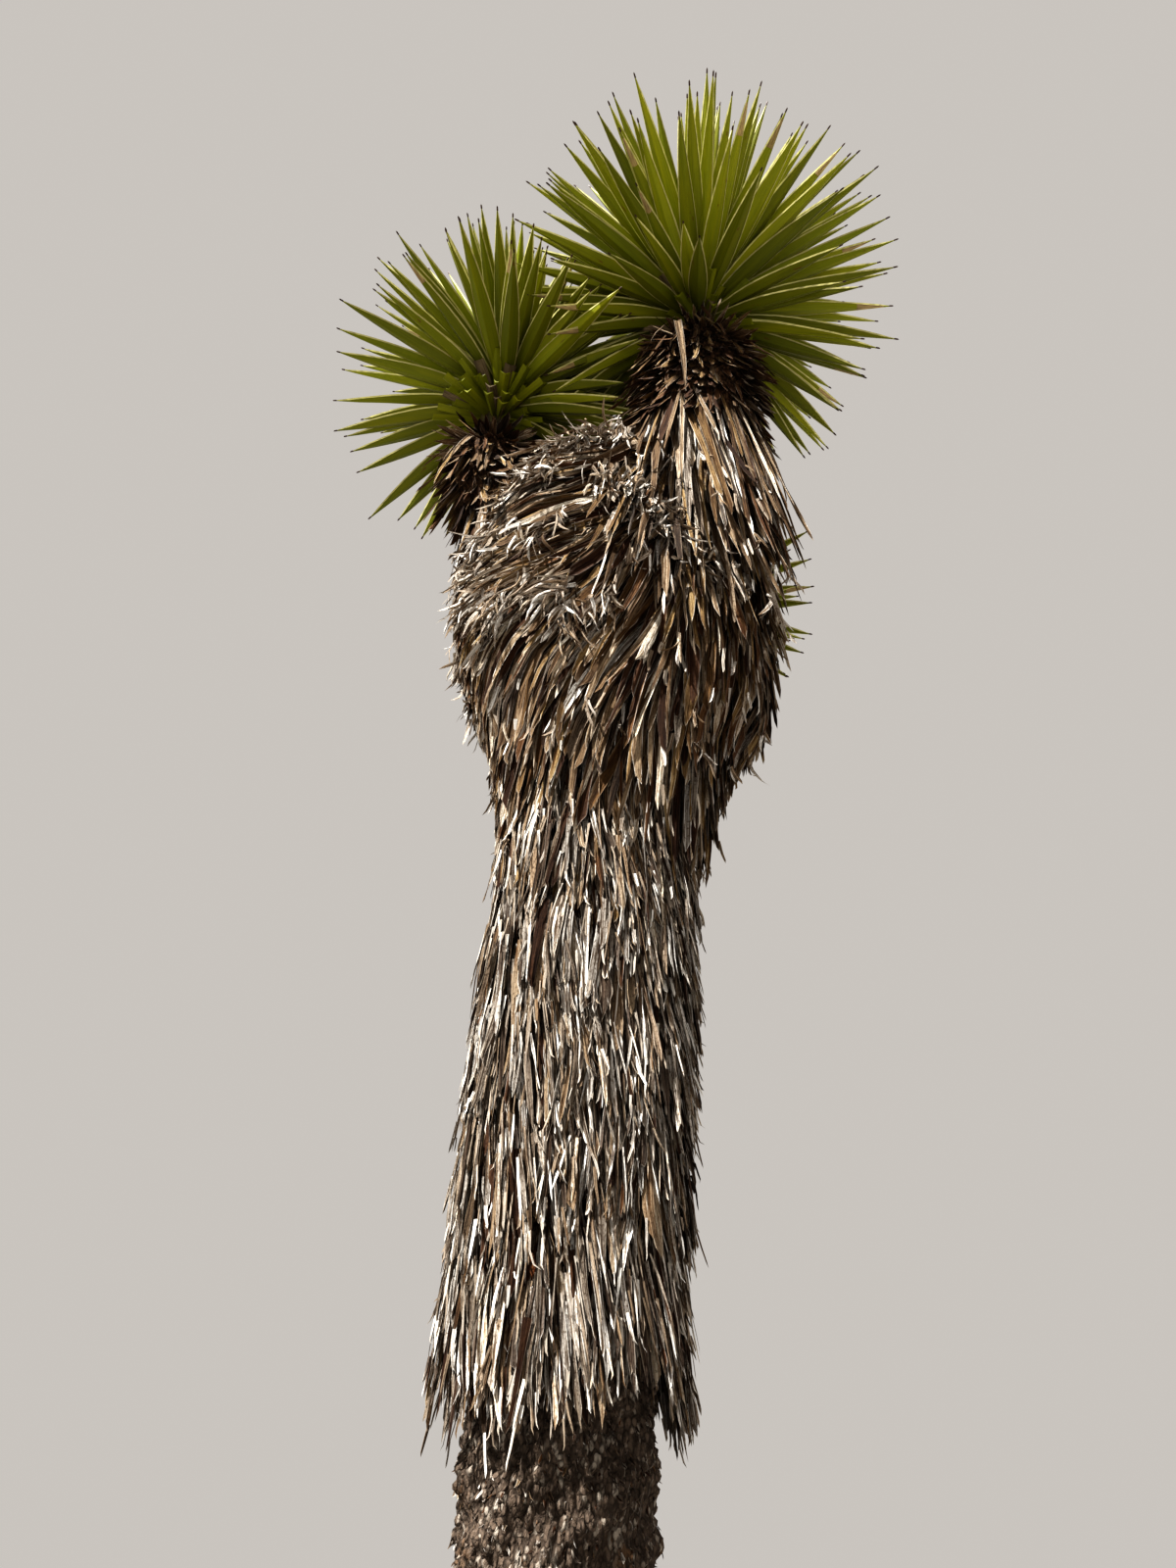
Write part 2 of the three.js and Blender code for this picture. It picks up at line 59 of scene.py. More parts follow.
arms = {
    "right": {
        "line": [(0.262, -0.012, 3.912), (0.42, -0.048, 4.29), (0.503, -0.06, 4.7), (0.525, -0.06, 5.0)],
        "footRadius": 0.118, "tipRadius": 0.09, "sector": (-80, 48),
        "shoulderTop": 4.33, "domeHeight": 0.33,
        "neck": {"from": 0.54, "to": 0.985, "footRadius": 0.222, "topRadius": 0.168},
        "crown": {"leaves": 270, "length": 0.715, "tilt": 5, "tiltTowards": 100, "widest": 122,
                  "height": 0.3, "radius": 0.092, "youngReach": 1.07, "frontReach": 1.02, "frontStay": 0.25,
                  "thinned": (20, 0.3), "oldPaintedShade": 0.6,
                  "shades": {"deep": 0.05, "olive": 0.35, "fresh": 0.6}},
    },
    "left": {
        "line": [(0.15, 0.018, 3.912), (-0.07, 0.092, 4.17), (-0.188, 0.116, 4.46), (-0.222, 0.12, 4.71)],
        "footRadius": 0.105, "tipRadius": 0.084, "sector": (135, 280),
        "shoulderTop": 4.48, "domeHeight": 0.43,
        "neck": {"from": 0.44, "to": 0.98, "footRadius": 0.158, "topRadius": 0.145},
        "crown": {"leaves": 220, "length": 0.655, "tilt": 13, "tiltTowards": 350, "widest": 122,
                  "height": 0.33, "radius": 0.084, "youngReach": 0.92, "frontReach": 0.93, "frontStay": 0.0,
                  "thinned": (190, 0.5), "oldPaintedShade": 0.95,
                  "shades": {"deep": 0.3, "olive": 0.52, "fresh": 0.18}},
    },
    "rear": {
        "line": [(0.262, 0.182, 3.56), (0.33, 0.33, 3.79), (0.382, 0.432, 4.02), (0.39, 0.45, 4.13)],
        "footRadius": 0.092, "tipRadius": 0.074, "sector": (48, 135),
        "shoulderTop": 3.96, "domeHeight": 0.26,
        "neck": {"from": 0.56, "to": 0.98, "footRadius": 0.112, "topRadius": 0.098},
        "crown": {"leaves": 125, "length": 0.535, "tilt": 26, "tiltTowards": 70, "widest": 118,
                  "height": 0.2, "radius": 0.074, "youngReach": 1.04, "frontReach": 1.0, "frontStay": 0.25,
                  "thinned": (90, 0.0), "oldPaintedShade": 0.6,
                  "shades": {"deep": 0.3, "olive": 0.45, "fresh": 0.25}},
    },
}
tierNodes = [f"skirt_tier_{tier + 1}" for tier in range(skirtRoom["tiers"])]
shoulderNodes = [f"shoulder_{name}" for name in arms]
down = np.array([0.0, 0.0, -1.0])
leftward = np.array([-1.0, 0.0, 0.0])
level = np.array([1, 1, 0])
fullTurn = 2 * math.pi
goldenAngle = math.pi * (3 - math.sqrt(5))


def unit(vectors):
    return vectors / np.maximum(np.linalg.norm(vectors, axis=-1, keepdims=True), 1e-9)


def dot(one, two):
    return np.sum(one * two, axis=-1, keepdims=True)


def mix(one, two, share):
    return one + (two - one) * share


def smoothStep(start, end, value):
    share = np.clip((value - start) / (end - start), 0, 1)
    return share * share * (3 - 2 * share)


def column(values):
    return np.asarray(values, float)[..., None]


# One unit way swung towards another by an angle
def swing(one, two, angle):
    return one * column(np.cos(angle)) + two * column(np.sin(angle))


# The same, and leant to one side
def leaned(along, out, tilt, aside):
    return unit(swing(along, out, tilt) + unit(np.cross(along, out)) * column(aside))


# Soft patches from 0 to 1 over places in space, from a few crossing waves
def patches(places, size, seed):
    rng = np.random.default_rng(seed)
    total = 0
    for _ in range(6):
        wave = unit(rng.standard_normal(3)) * fullTurn / (size * rng.uniform(0.7, 1.5))
        total = total + np.sin(places @ wave + rng.uniform(0, fullTurn))
    return 0.5 + 0.5 * np.tanh(total / 1.6)


def trunkAxis(z):
    z = np.asarray(z, float)
    lean = trunk["lean"] * (np.maximum(z, 0) / trunk["forkHeight"]) ** trunk["leanPower"]
    return np.stack([lean, np.zeros_like(z), z], -1)


# The trunk with its flare and lobes, and the bark's swells in staggered rows that fade out under the skirt
def trunkRadius(z, angle):
    taper = mix(trunk["footRadius"], trunk["forkRadius"], z / trunk["forkHeight"])
    lobes = 1 + trunk["lobeShare"] * np.cos(trunk["lobes"] * angle)
    flare = trunk["flare"] * np.exp(-np.maximum(z, 0) / trunk["flareHeight"]) * lobes
    twist = trunk["swellTwist"] * np.sin(fullTurn * z / trunk["twistPitch"])
    slant = trunk["swellSlant"] * np.sin(2 * angle + 0.8)
    rows = np.cos(trunk["swellsAround"] * angle + twist) * np.cos(fullTurn * z / trunk["swellPitch"] + slant)
    fade = 1 - smoothStep(trunk["swellTop"] - trunk["swellFade"], trunk["swellTop"], z)
    return taper + flare + trunk["swellHeight"] * rows * fade


# The skirt's surface under its leaves: out at the foot of each tier, and in at its top
def skirtRadius(z, angle):
    share = np.clip((z - skirtRoom["lowestFoot"]) / skirtRoom["pitch"], 0, skirtRoom["tiers"] - 0.001) % 1
    outward = skirtRoom["lowerOut"] * (1 - smoothStep(*skirtRoom["outFades"], z))
    inward = skirtRoom["rightIn"] * (0.5 + 0.5 * np.cos(angle))
    return mix(skirtRoom["lip"], skirtRoom["innerWall"], share) + outward - inward


# A value of the arms' shoulders at an angle round the trunk, with soft steps from one's sector to the next
def shoulderValue(name, angle):
    weights = []
    for arm in arms.values():
        start, end = np.radians(arm["sector"])
        away = np.abs((angle - (start + end) / 2 + math.pi) % fullTurn - math.pi)
        weights.append(1 - smoothStep(-0.16, 0.16, away - (end - start) / 2) + 1e-4)
    weights = np.stack(weights, 0)
    return np.tensordot([arm[name] for arm in arms.values()], weights / weights.sum(0), 1)


# The shoulders' surface under their leaves, as one closed dome round the fork
def shoulderRadius(z, angle):
    room = shoulderRoom
    early = room["rightEarlier"] * (0.5 + 0.5 * np.cos(angle))
    swell = room["bulge"] * smoothStep(room["bulgeStart"], room["bulgeEnd"], z + early)
    toBack = smoothStep(-0.3, 0.3, np.sin(angle))
    depth = skirtRoom["reach"] + swell * mix(room["frontShare"], room["backShare"], toBack)
    reach = 1 / np.hypot(np.cos(angle) / (skirtRoom["reach"] + swell), np.sin(angle) / depth)
    domeHeight = shoulderValue("domeHeight", angle)
    share = np.clip((z - shoulderValue("shoulderTop", angle) + domeHeight) / domeHeight, 0, 0.999)
    dome = (1 - share ** room["domePower"]) ** (1 / room["domePower"])
    core = np.maximum(0.05, reach * dome - room["standOff"])
    rise = smoothStep(room["foot"], room["foot"] + room["footFade"], z)
    return mix(np.minimum(skirtRoom["lip"], core), core, rise)


# The left shoulder's top and the saddle lie lower than the dome: places there sink, most at the far left
def sunk(places):
    left = shoulderRoom["sunkLeft"] * (1 - smoothStep(-0.24, -0.01, places[..., 0]))
    middle = shoulderRoom["sunkMiddle"] * (1 - smoothStep(0.16, 0.3, places[..., 0]))
    places = places.copy()
    places[..., 2] -= np.maximum(places[..., 2] - shoulderRoom["sunkFrom"], 0) * (left + middle)
    return places


# The level way out from the trunk at an angle
def levelOut(angle, rise=0.0):
    return np.stack([np.cos(angle), np.sin(angle), rise + 0 * angle], -1)


def pointRoundTrunk(radiusAt, z, angle):
    return trunkAxis(z) + levelOut(angle) * column(radiusAt(z, angle))


# A place on a surface round the trunk, with the way down along it and the way out of it
def surfaceRoundTrunk(radiusAt, z, angle):
    along = unit(pointRoundTrunk(radiusAt, z - 0.008, angle) - pointRoundTrunk(radiusAt, z + 0.008, angle))
    across = unit(pointRoundTrunk(radiusAt, z, angle + 0.02) - pointRoundTrunk(radiusAt, z, angle - 0.02))
    return pointRoundTrunk(radiusAt, z, angle), along, unit(np.cross(along, across))


# How places lie from the trunk's axis, and at which angle round it
def roundTrunk(places):
    offset = places - trunkAxis(places[..., 2])
    return offset, np.arctan2(offset[..., 1], offset[..., 0])


# The smooth line of an arm, through its points, read by share of its length
class ArmLine:
    def __init__(self, points):
        points = np.array(points, float)
        ends = [2 * points[0] - points[1], *points, 2 * points[-1] - points[-2]]
        dense = []
        for four in zip(ends, ends[1:], ends[2:], ends[3:]):
            dense.extend(self.stretch(*four))
        self.points = np.array([*dense, points[-1]])
        steps = np.linalg.norm(np.diff(self.points, axis=0), axis=1)
        self.shares = np.concatenate([[0], np.cumsum(steps)]) / steps.sum()

    # A stretch of the curve between its two middle points, with bends that ease by the points' spacing
    def stretch(self, one, two, three, four):
        gaps = np.linalg.norm([two - one, three - two, four - three], axis=1)
        first, middle, last = np.sqrt(gaps)
        leave = (two - one) / first - (three - one) / (first + middle) + (three - two) / middle
        arrive = (three - two) / middle - (four - two) / (middle + last) + (four - three) / last
        share = np.linspace(0, 1, 40, endpoint=False)[:, None]
        flow = middle * (leave * share * (1 - share) ** 2 - arrive * share**2 * (1 - share))
        return mix(two, three, share * share * (3 - 2 * share)) + flow

    def at(self, share):
        return np.stack([np.interp(share, self.shares, self.points[:, k]) for k in range(3)], -1)


armLines = {name: ArmLine(arm["line"]) for name, arm in arms.items()}


# Where a collar round an arm lies, with the way down along it and the way out of it
def surfaceRoundArm(name, share, angle, radius):
    line = armLines[name]
    along = unit(line.at(np.minimum(share + 0.01, 1)) - line.at(np.maximum(share - 0.01, 0)))
    across = unit(np.cross(np.array([0, 1.0, 0]), along))
    out = swing(across, np.cross(along, across), angle)
    return line.at(share) + out * column(radius), -along, out


# A socket that takes part in sums: each operator adds its Math node
class Term:
    def __init__(self, finish, socket):
        self.finish = finish
        self.socket = socket

    def sum(self, operation, one, two):
        return self.finish.add("ShaderNodeMath", {"operation": operation}, {0: one, 1: two})

    def __add__(self, other):
        return self.sum("ADD", self, other)

    def __sub__(self, other):
        return self.sum("SUBTRACT", self, other)

    def __rsub__(self, other):
        return self.sum("SUBTRACT", other, self)

    def __mul__(self, other):
        return self.sum("MULTIPLY", self, other)

    __radd__ = __add__
    __rmul__ = __mul__


# A material and its nodes
class Finish:
    def __init__(self, name, **shader):
        self.material = bpy.data.materials.new(name)
        self.material.use_nodes = True
        self.tree = self.material.node_tree
        self.shader = self.tree.nodes["Principled BSDF"]
        for socket, value in shader.items():
            self.shader.inputs[socket.replace("_", " ")].default_value = value

    def add(self, kind, settings, sockets, output=0):
        node = self.tree.nodes.new(kind)
        for key, value in settings.items():
            if key == "stops":
                self.setStops(node.color_ramp, value)
            else:
                setattr(node, key, value)
        for key, value in sockets.items():
            if isinstance(value, Term):
                self.tree.links.new(value.socket, node.inputs[key])
            else:
                node.inputs[key].default_value = value
        return Term(self, node.outputs[output])

    # A ramp's colours, evenly spaced
    def setStops(self, ramp, colours):
        while len(ramp.elements) < len(colours):
            ramp.elements.new(0.5)
        for index, colour in enumerate(colours):
            ramp.elements[index].position = index / (len(colours) - 1)
            ramp.elements[index].color = (*colour, 1)

    def objectPlace(self):
        return self.add("ShaderNodeTexCoord", {}, {}, "Object")

    def leafPlace(self):
        return self.add("ShaderNodeUVMap", {"uv_map": "leafMap"}, {})

    def stretch(self, place, scale):
        return self.add("ShaderNodeVectorMath", {"operation": "MULTIPLY"}, {0: place, 1: scale})

    # Noise over a place that is first stretched
    def noise(self, place, scale, detail=3.0, roughness=0.5, size=1.0):
        place = self.stretch(place, scale)
        values = {"Vector": place, "Scale": size, "Detail": detail, "Roughness": roughness}
        return self.add("ShaderNodeTexNoise", {}, values)

    # A value moved from one range to 0..1, with soft ends
    def between(self, value, start, end):
        values = {"Value": value, "From Min": start, "From Max": end}
        return self.add("ShaderNodeMapRange", {"interpolation_type": "SMOOTHSTEP"}, values)

    def blend(self, factor, one, two, mode="MIX"):
        one, two = (colour if isinstance(colour, Term) else (*colour, 1) for colour in (one, two))
        values = {"Factor": factor, 6: one, 7: two}
        return self.add("ShaderNodeMix", {"data_type": "RGBA", "blend_type": mode}, values, 2)

    def attribute(self, name):
        return self.add("ShaderNodeAttribute", {"attribute_name": name}, {}, "Fac")

    # A colour tinted by each leaf's own tone
    def toned(self, colour, tints):
        tint = self.add("ShaderNodeValToRGB", {"stops": tints}, {"Fac": self.attribute("tone")})
        return self.blend(1.0, colour, tint, "MULTIPLY")

    # Links what has been made to the shader, and gives the material
    def done(self, colour, roughness=None, relief=None, depth=0.01, strength=1.0):
        if relief:
            values = {"Strength": strength, "Distance": depth, "Height": relief}
            relief = self.add("ShaderNodeBump", {}, values)
        for socket, term in (("Base Color", colour), ("Roughness", roughness), ("Normal", relief)):
            if term:
                self.tree.links.new(term.socket, self.shader.inputs[socket])
        return self.material


# Dead leaves' colours, the cracks' depth (how dark the cracks are painted, partly as painted shade), and how
# far grey weather, pale worn edges and flecks show
deadColours = {
    "bleached": ((0.82, 0.8, 0.765), 0.16, 0.25, 0.6, 0.75),
    "cream": ((0.62, 0.568, 0.478), 0.34, 0.25, 0.5, 0.6),
    "grey": ((0.325, 0.298, 0.268), 0.14, 0.6, 0.9, 0.8),
    "ash": ((0.135, 0.104, 0.083), 0.15, 0.5, 0.6, 0.6),
    "golden": ((0.268, 0.188, 0.09), 0.3, 0.1, 0.7, 0.4),
    "tan": ((0.282, 0.212, 0.138), 0.22, 0.2, 0.8, 0.45),
    "russet": ((0.148, 0.08, 0.036), 0.35, 0.1, 0.5, 0.4),
    "umber": ((0.066, 0.031, 0.014), 0.3, 0.15, 0.3, 0.5),
}
# What they turn to in cracks (partly painted shade), on ridges (partly painted highlight), in grey weather
# and flecks, by share of red, green and blue
wear = {
    "crackAndShade": (1.2, 0.82, 0.5), "ridgeAndHighlight": 1.2, "greyCrackAndShade": (0.18, 0.12, 0.08), "greyRidgeAndHighlight": (1.2, 1.08, 0.93),
    "fleck": (0.2, 0.135, 0.075), "frayed": (0.72, 0.69, 0.64),
    "tones": [(0.33, 0.245, 0.165), (0.74, 0.69, 0.635), (1.22, 1.25, 1.28)],
}


# Dry fibre: dark cracks and pale ridges along the leaf, partly the fibre's own streaks and partly painted
# shade in the cracks and painted highlight on the ridges, grey patches, frayed pale edges, and relief
def deadLeafFinish(name):
    base, deep, weather, edge, flecks = deadColours[name]
    base = np.array(base)
    grey = base @ (0.33, 0.5, 0.17)
    finish = Finish(f"{name}DeadLeaf", Roughness=0.85, Specular_IOR_Level=0.2)
    leaf = finish.leafPlace()
    ridges = finish.noise(leaf, (250, 7, 1), 4.0, 0.7)
    broad = finish.noise(leaf, (75, 13, 1))
    specks = finish.noise(leaf, (180, 110, 1), 3.0, 0.75)
    # Where the relief sinks the colour darkens, and where it rises it pales: partly the fibre's own streaks,
    # partly painted shade and painted highlight
    crackAndShade = base * deep * wear["crackAndShade"]
    striped = finish.blend(finish.between(ridges, 0.38, 0.57), crackAndShade, base * wear["ridgeAndHighlight"])
    weathered = finish.blend(finish.between(ridges, 0.42, 0.6), np.multiply(grey, wear["greyCrackAndShade"]),
                             np.multiply(grey, wear["greyRidgeAndHighlight"]))
    cloudy = finish.blend(finish.between(broad, 0.44, 0.6) * weather, striped, weathered)
    flecked = finish.blend(finish.between(specks, 0.52, 0.62) * flecks, cloudy, base * wear["fleck"])
    # The attribute is 0 on a leaf's middle line, and 1 along its edges and at its tip
    frayed = finish.between(finish.attribute("edge") + (ridges - 0.5) * 1.1, 0.8, 1.04) * edge
    edged = finish.blend(frayed, flecked, wear["frayed"])
    relief = ridges + specks * 0.35 + broad * 0.4
    return finish.done(finish.toned(edged, wear["tones"]), None, relief, 0.008)


# Three greens of one hue at three brightnesses; dealt by rosette and to the oldest leaves they are painted
# light and shade
greenColours = {"olive": (0.168, 0.184, 0.004), "deep": (0.134, 0.147, 0.003), "fresh": (0.222, 0.243, 0.008)}
greenLook = {
    "pale": (1.45, 1.3, 1.0), "rust": (0.13, 0.055, 0.012), "lines": 0.14, "roughness": 0.42,
    "tones": [(0.82, 0.84, 0.8), (1.14, 1.1, 1.14)],
}


# A stiff living leaf: fine lines along it, paler clouds, rust spots and a waxy gloss
def greenLeafFinish(name):
    base = np.array(greenColours[name])
    finish = Finish(f"{name}GreenLeaf", Specular_IOR_Level=0.22)
    leaf = finish.leafPlace()
    fine = finish.noise(leaf, (700, 3.5, 1), 2.0, 0.6)
    broad = finish.noise(leaf, (60, 4, 1), 2.0)
    low, high = base * (1 - greenLook["lines"]), base * (1 + greenLook["lines"])
    lined = finish.blend(finish.between(fine, 0.35, 0.65), low, high)
    cloudy = finish.blend(finish.between(broad, 0.4, 0.68) * 0.45, lined, base * greenLook["pale"])
    rust = finish.between(finish.noise(leaf, (75, 14, 1)), 0.68, 0.74)
    spotted = finish.blend(rust * 0.75, cloudy, greenLook["rust"])
    roughness = broad * 0.2 + greenLook["roughness"]
    return finish.done(finish.toned(spotted, greenLook["tones"]), roughness, fine + broad * 0.5, 0.0012, 0.6)


# Plain tissues: their colour, roughness, and how strongly the grain shows
tissues = {
    # The rims are the leaves' pale margins, made as bright as sunlit edges all round: partly painted
    # highlight
    "leafBaseTip": ((0.19, 0.145, 0.085), 0.8, 0.5), "leafRimAndHighlight": ((0.56, 0.535, 0.23), 0.5, 0.35),
    "leafPoint": ((0.055, 0.026, 0.015), 0.5, 0.4), "dryLeafEnd": ((0.36, 0.27, 0.13), 0.7, 0.5),
}


def tissueFinish(name):
    base, roughness, contrast = tissues[name]
    base = np.array(base)
    finish = Finish(name, Specular_IOR_Level=0.3)
    fine = finish.noise(finish.leafPlace(), (500, 22, 1), 3.0, 0.6)
    grain = finish.blend(finish.between(fine, 0.32, 0.66), base * (1 - contrast), base * (1 + contrast * 0.5))
    toned = finish.toned(grain, [(0.66, 0.64, 0.62), (1.2, 1.2, 1.2)])
    return finish.done(toned, fine * 0.25 + (roughness - 0.12), fine, 0.0015, 0.7)


barkLooks = {
    "yuccaBark": {"dark": (0.074, 0.054, 0.04), "brown": (0.126, 0.095, 0.072), "pale": (0.4, 0.355, 0.3),
                  "rust": (0.21, 0.11, 0.045), "paleShare": 0.8},
    # Near-black: painted shade deep between the dead leaves
    "packedLeafBasesShade": {"dark": (0.024, 0.008, 0.003), "brown": (0.078, 0.032, 0.012),
                        "pale": (0.18, 0.1, 0.04), "rust": (0.12, 0.036, 0.01), "paleShare": 0.25},
    "neckLeafBases": {"dark": (0.05, 0.028, 0.016), "brown": (0.13, 0.075, 0.04),
                      "pale": (0.2, 0.14, 0.085), "rust": (0.13, 0.06, 0.024), "paleShare": 0.3},
}


# Rough bark: crumbs of fibre, each of its own brown, pits between them darkened as painted shade, pale flecks
# and rusty patches
def barkFinish(name):
    look = barkLooks[name]
    finish = Finish(name, Roughness=0.92, Specular_IOR_Level=0.2)
    place = finish.objectPlace()
    fibres = finish.noise(place, (1, 1, 0.34), 5.0, 0.75, 95)
    lumps = finish.noise(place, (1, 1, 0.7), 4.0, 0.6, 30)
    fields = finish.noise(place, (1, 1, 1), size=5.5)
    cells = {"Vector": finish.stretch(place, (1, 1, 0.55)), "Scale": 105}
    pits = finish.between(finish.add("ShaderNodeTexVoronoi", {}, cells), 0.35, 0.75)
    dealt = finish.add("ShaderNodeTexVoronoi", {}, cells, 1)
    ground = finish.blend(finish.between(fibres, 0.38, 0.62), look["dark"], look["brown"])
    varied = finish.blend(finish.between(dealt, 0.35, 0.75) * 0.6, ground, np.multiply(look["brown"], 1.55))
    rust = finish.between(fields, 0.52, 0.66) * finish.between(lumps, 0.4, 0.6) * 0.7
    pale = finish.between(dealt, 0.68, 0.72) * finish.between(lumps, 0.4, 0.58) * look["paleShare"]
    flecked = finish.blend(pale, finish.blend(rust, varied, look["rust"]), look["pale"])
    # The pits between the crumbs, where the relief sinks, are darkened: painted shade
    shadedInPits = finish.blend(pits * 0.7, flecked, np.multiply(look["dark"], 0.5))
    return finish.done(shadedInPits, None, fibres + lumps * 0.6 - pits * 0.7, 0.012, 0.9)


def budFinish():
    finish = Finish("budTissue", Roughness=0.6)
    lines = finish.noise(finish.objectPlace(), (1, 1, 0.12), size=90)
    colour = finish.blend(finish.between(lines, 0.35, 0.65), (0.03, 0.022, 0.006), (0.09, 0.075, 0.015))
    return finish.done(colour, None, lines, 0.003)


def floorFinish():
    finish = Finish("studioFloor", Roughness=0.9, Specular_IOR_Level=0.2)
    soft = finish.noise(finish.objectPlace(), (1, 1, 1), size=1.5)
    return finish.done(finish.blend(soft, (0.26, 0.248, 0.235), (0.285, 0.272, 0.258)))


deadFinishes = {name: deadLeafFinish(name) for name in deadColours}
greenFinishes = {name: greenLeafFinish(name) for name in greenColours}
tissueFinishes = {name: tissueFinish(name) for name in tissues}
barkFinishes = {name: barkFinish(name) for name in barkLooks}
budTissue = budFinish()
print("finishes made")


# Adds a finished mesh as a piece of the plant
def addPiece(name, mesh, material, nodes):
    piece = bpy.data.objects.new(name, mesh)
    bpy.context.scene.collection.objects.link(piece)
    mesh.materials.append(material)
    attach(piece, "root")
    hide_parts(*nodes)


# Adds a closed bmesh as a smooth piece
def addShell(name, shell, material, nodes):
    bmesh.ops.recalc_face_normals(shell, faces=shell.faces)
    for facet in shell.faces:
        facet.smooth = True
    mesh = bpy.data.meshes.new(name)
    shell.to_mesh(mesh)
    shell.free()
    addPiece(name, mesh, material, nodes)


# Adds a closed sheet wrapped round a middle line: place(share up, angle) says where each corner goes
def addWrapped(name, aroundCount, upCount, place, material, nodes):
    sheet = bmesh.new()
    bmesh.ops.create_grid(sheet, x_segments=aroundCount, y_segments=upCount, size=0.5)
    angles = np.array([corner.co.x + 0.5 for corner in sheet.verts]) * fullTurn
    heights = np.array([corner.co.y + 0.5 for corner in sheet.verts])
    for corner, spot in zip(sheet.verts, place(heights, angles)):
        corner.co = spot
    bmesh.ops.remove_doubles(sheet, verts=sheet.verts, dist=1e-5)
    rims = [edge for edge in sheet.edges if edge.is_boundary]
    bmesh.ops.holes_fill(sheet, edges=rims, sides=aroundCount + 4)
    addShell(name, sheet, material, nodes)


# A batch of leaves: each one's middle line, the way its face looks, its half width, its tone and its twist
class Leaves:
    def __init__(self, place, face, halfWidth, tone, twist=0.0):
        along = unit(np.gradient(place, axis=1))
        side = unit(np.cross(along, face))
        face = np.cross(side, along)
        self.place = place
        self.side = swing(side, face, twist)
        self.face = swing(face, -side, twist)
        self.halfWidth = halfWidth
        self.tone = tone
        steps = np.linalg.norm(np.diff(place, axis=1), axis=2)
        self.reach = np.concatenate([np.zeros((len(place), 1)), np.cumsum(steps, 1)], 1)

    def __len__(self):
        return len(self.place)

    def taken(self, chosen):
        copy = object.__new__(Leaves)
        for name, values in self.__dict__.items():
            setattr(copy, name, values[chosen])
        return copy

    # The same leaves between two shares of their length, in evenly spaced stations
    def stretch(self, start, end, stations):
        spot = np.linspace(start, end, stations) * (self.place.shape[1] - 1)
        below = np.minimum(spot.astype(int), self.place.shape[1] - 2)
        copy = object.__new__(Leaves)
        copy.tone = self.tone
        for name in ("place", "side", "face", "halfWidth", "reach"):
            values = getattr(self, name)
            share = spot - below if values.ndim == 2 else column(spot - below)
            setattr(copy, name, mix(values[:, below], values[:, below + 1], share))
        return copy


# Adds leaves as one joined mesh of closed skins: a section's corners go round every station of a line, and
# the skin ends in a point, or in a flat cut if blunt
def addSkins(name, leaves, section, across, material, nodes, blunt=False):
    count, stations, corners = section.shape[:3]
    ringCount = stations if blunt else stations - 1

    # A value for each corner of each ring, and one more at the point
    def laid(values, atPoint):
        flat = values[:, :ringCount].reshape(count, ringCount * corners, *values.shape[3:])
        return flat if blunt else np.concatenate([flat, atPoint], 1)

    rings = leaves.place[:, :, None] + leaves.side[:, :, None] * section[..., :1]
    rings = rings + leaves.face[:, :, None] * section[..., 1:]
    points = laid(rings, rings[:, -1].mean(1, keepdims=True))
    ring = np.arange(corners)
    following = (ring + 1) % corners
    wall = np.stack([ring, following, corners + following, corners + ring], 1)
    last = (ringCount - 1) * corners
    faces = [face for low in range(0, last, corners) for face in low + wall]
    if blunt:
        faces.append(last + ring)
    else:
        faces.extend(np.stack([last + ring, last + following, np.full(corners, ringCount * corners)], 1))
    faces.append(ring[::-1])
    perLeaf = points.shape[1]
    loops = (np.concatenate(faces)[None] + perLeaf * np.arange(count)[:, None]).ravel()
    sizes = np.tile([len(face) for face in faces], count)
    mesh = bpy.data.meshes.new(name)
    mesh.vertices.add(count * perLeaf)
    mesh.vertices.foreach_set("co", points.ravel())
    mesh.loops.add(len(loops))
    mesh.loops.foreach_set("vertex_index", loops)
    mesh.polygons.add(len(sizes))
    mesh.polygons.foreach_set("loop_start", np.concatenate([[0], np.cumsum(sizes)[:-1]]))
    mesh.update(calc_edges=True)
    # The map runs across the leaf and along it in metres, each leaf at its own place on it
    wide = laid(leaves.halfWidth[..., None] * across, np.zeros((count, 1)))
    high = laid(np.repeat(leaves.reach[..., None], corners, 2), leaves.reach[:, -1:])
    order = np.arange(count)[:, None]
    spread = np.stack([wide + (order % 71) * 0.37, high + (order // 71) * 1.93], -1).reshape(-1, 2)
    mesh.uv_layers.new(name="leafMap").data.foreach_set("uv", spread[loops].ravel())
    edge = laid(np.broadcast_to(np.abs(across), section.shape[:3]), np.ones((count, 1)))
    for key, values in (("tone", np.repeat(leaves.tone, perLeaf)), ("edge", edge.ravel())):
        mesh.attributes.new(key, "FLOAT", "POINT").data.foreach_set("value", values)
    mesh.polygons.foreach_set("use_smooth", np.ones(len(sizes), bool))
    mesh.set_sharp_from_angle(angle=math.radians(50))
    addPiece(name, mesh, material, nodes)


# Where a section's corners lie across a leaf, from one edge to the other and back, and for a rim at its edge
rolledAcross = np.array([-1, -0.5, 0, 0.5, 1, 0.6, 0, -0.6])
foldedAcross = np.array([-1.0, 0.0, 1.0, 0.0])
threadAcross = np.array([-1.0, 1.0, 0.0])
channelAcross = np.array([-1, -0.5, 0, 0.5, 1, 0.55, 0, -0.55])
rimAcross = np.array([1.0, 0.9, 0.8])
# What most dead leaves share
deadLeaf = {
    "across": foldedAcross, "stations": 5, "wander": 0.017, "inset": 0.0, "rough": 0.27, "ownTwist": 0.3,
    "thickness": 0.0022, "ridges": 0.0006, "roll": (-1, 1),
}


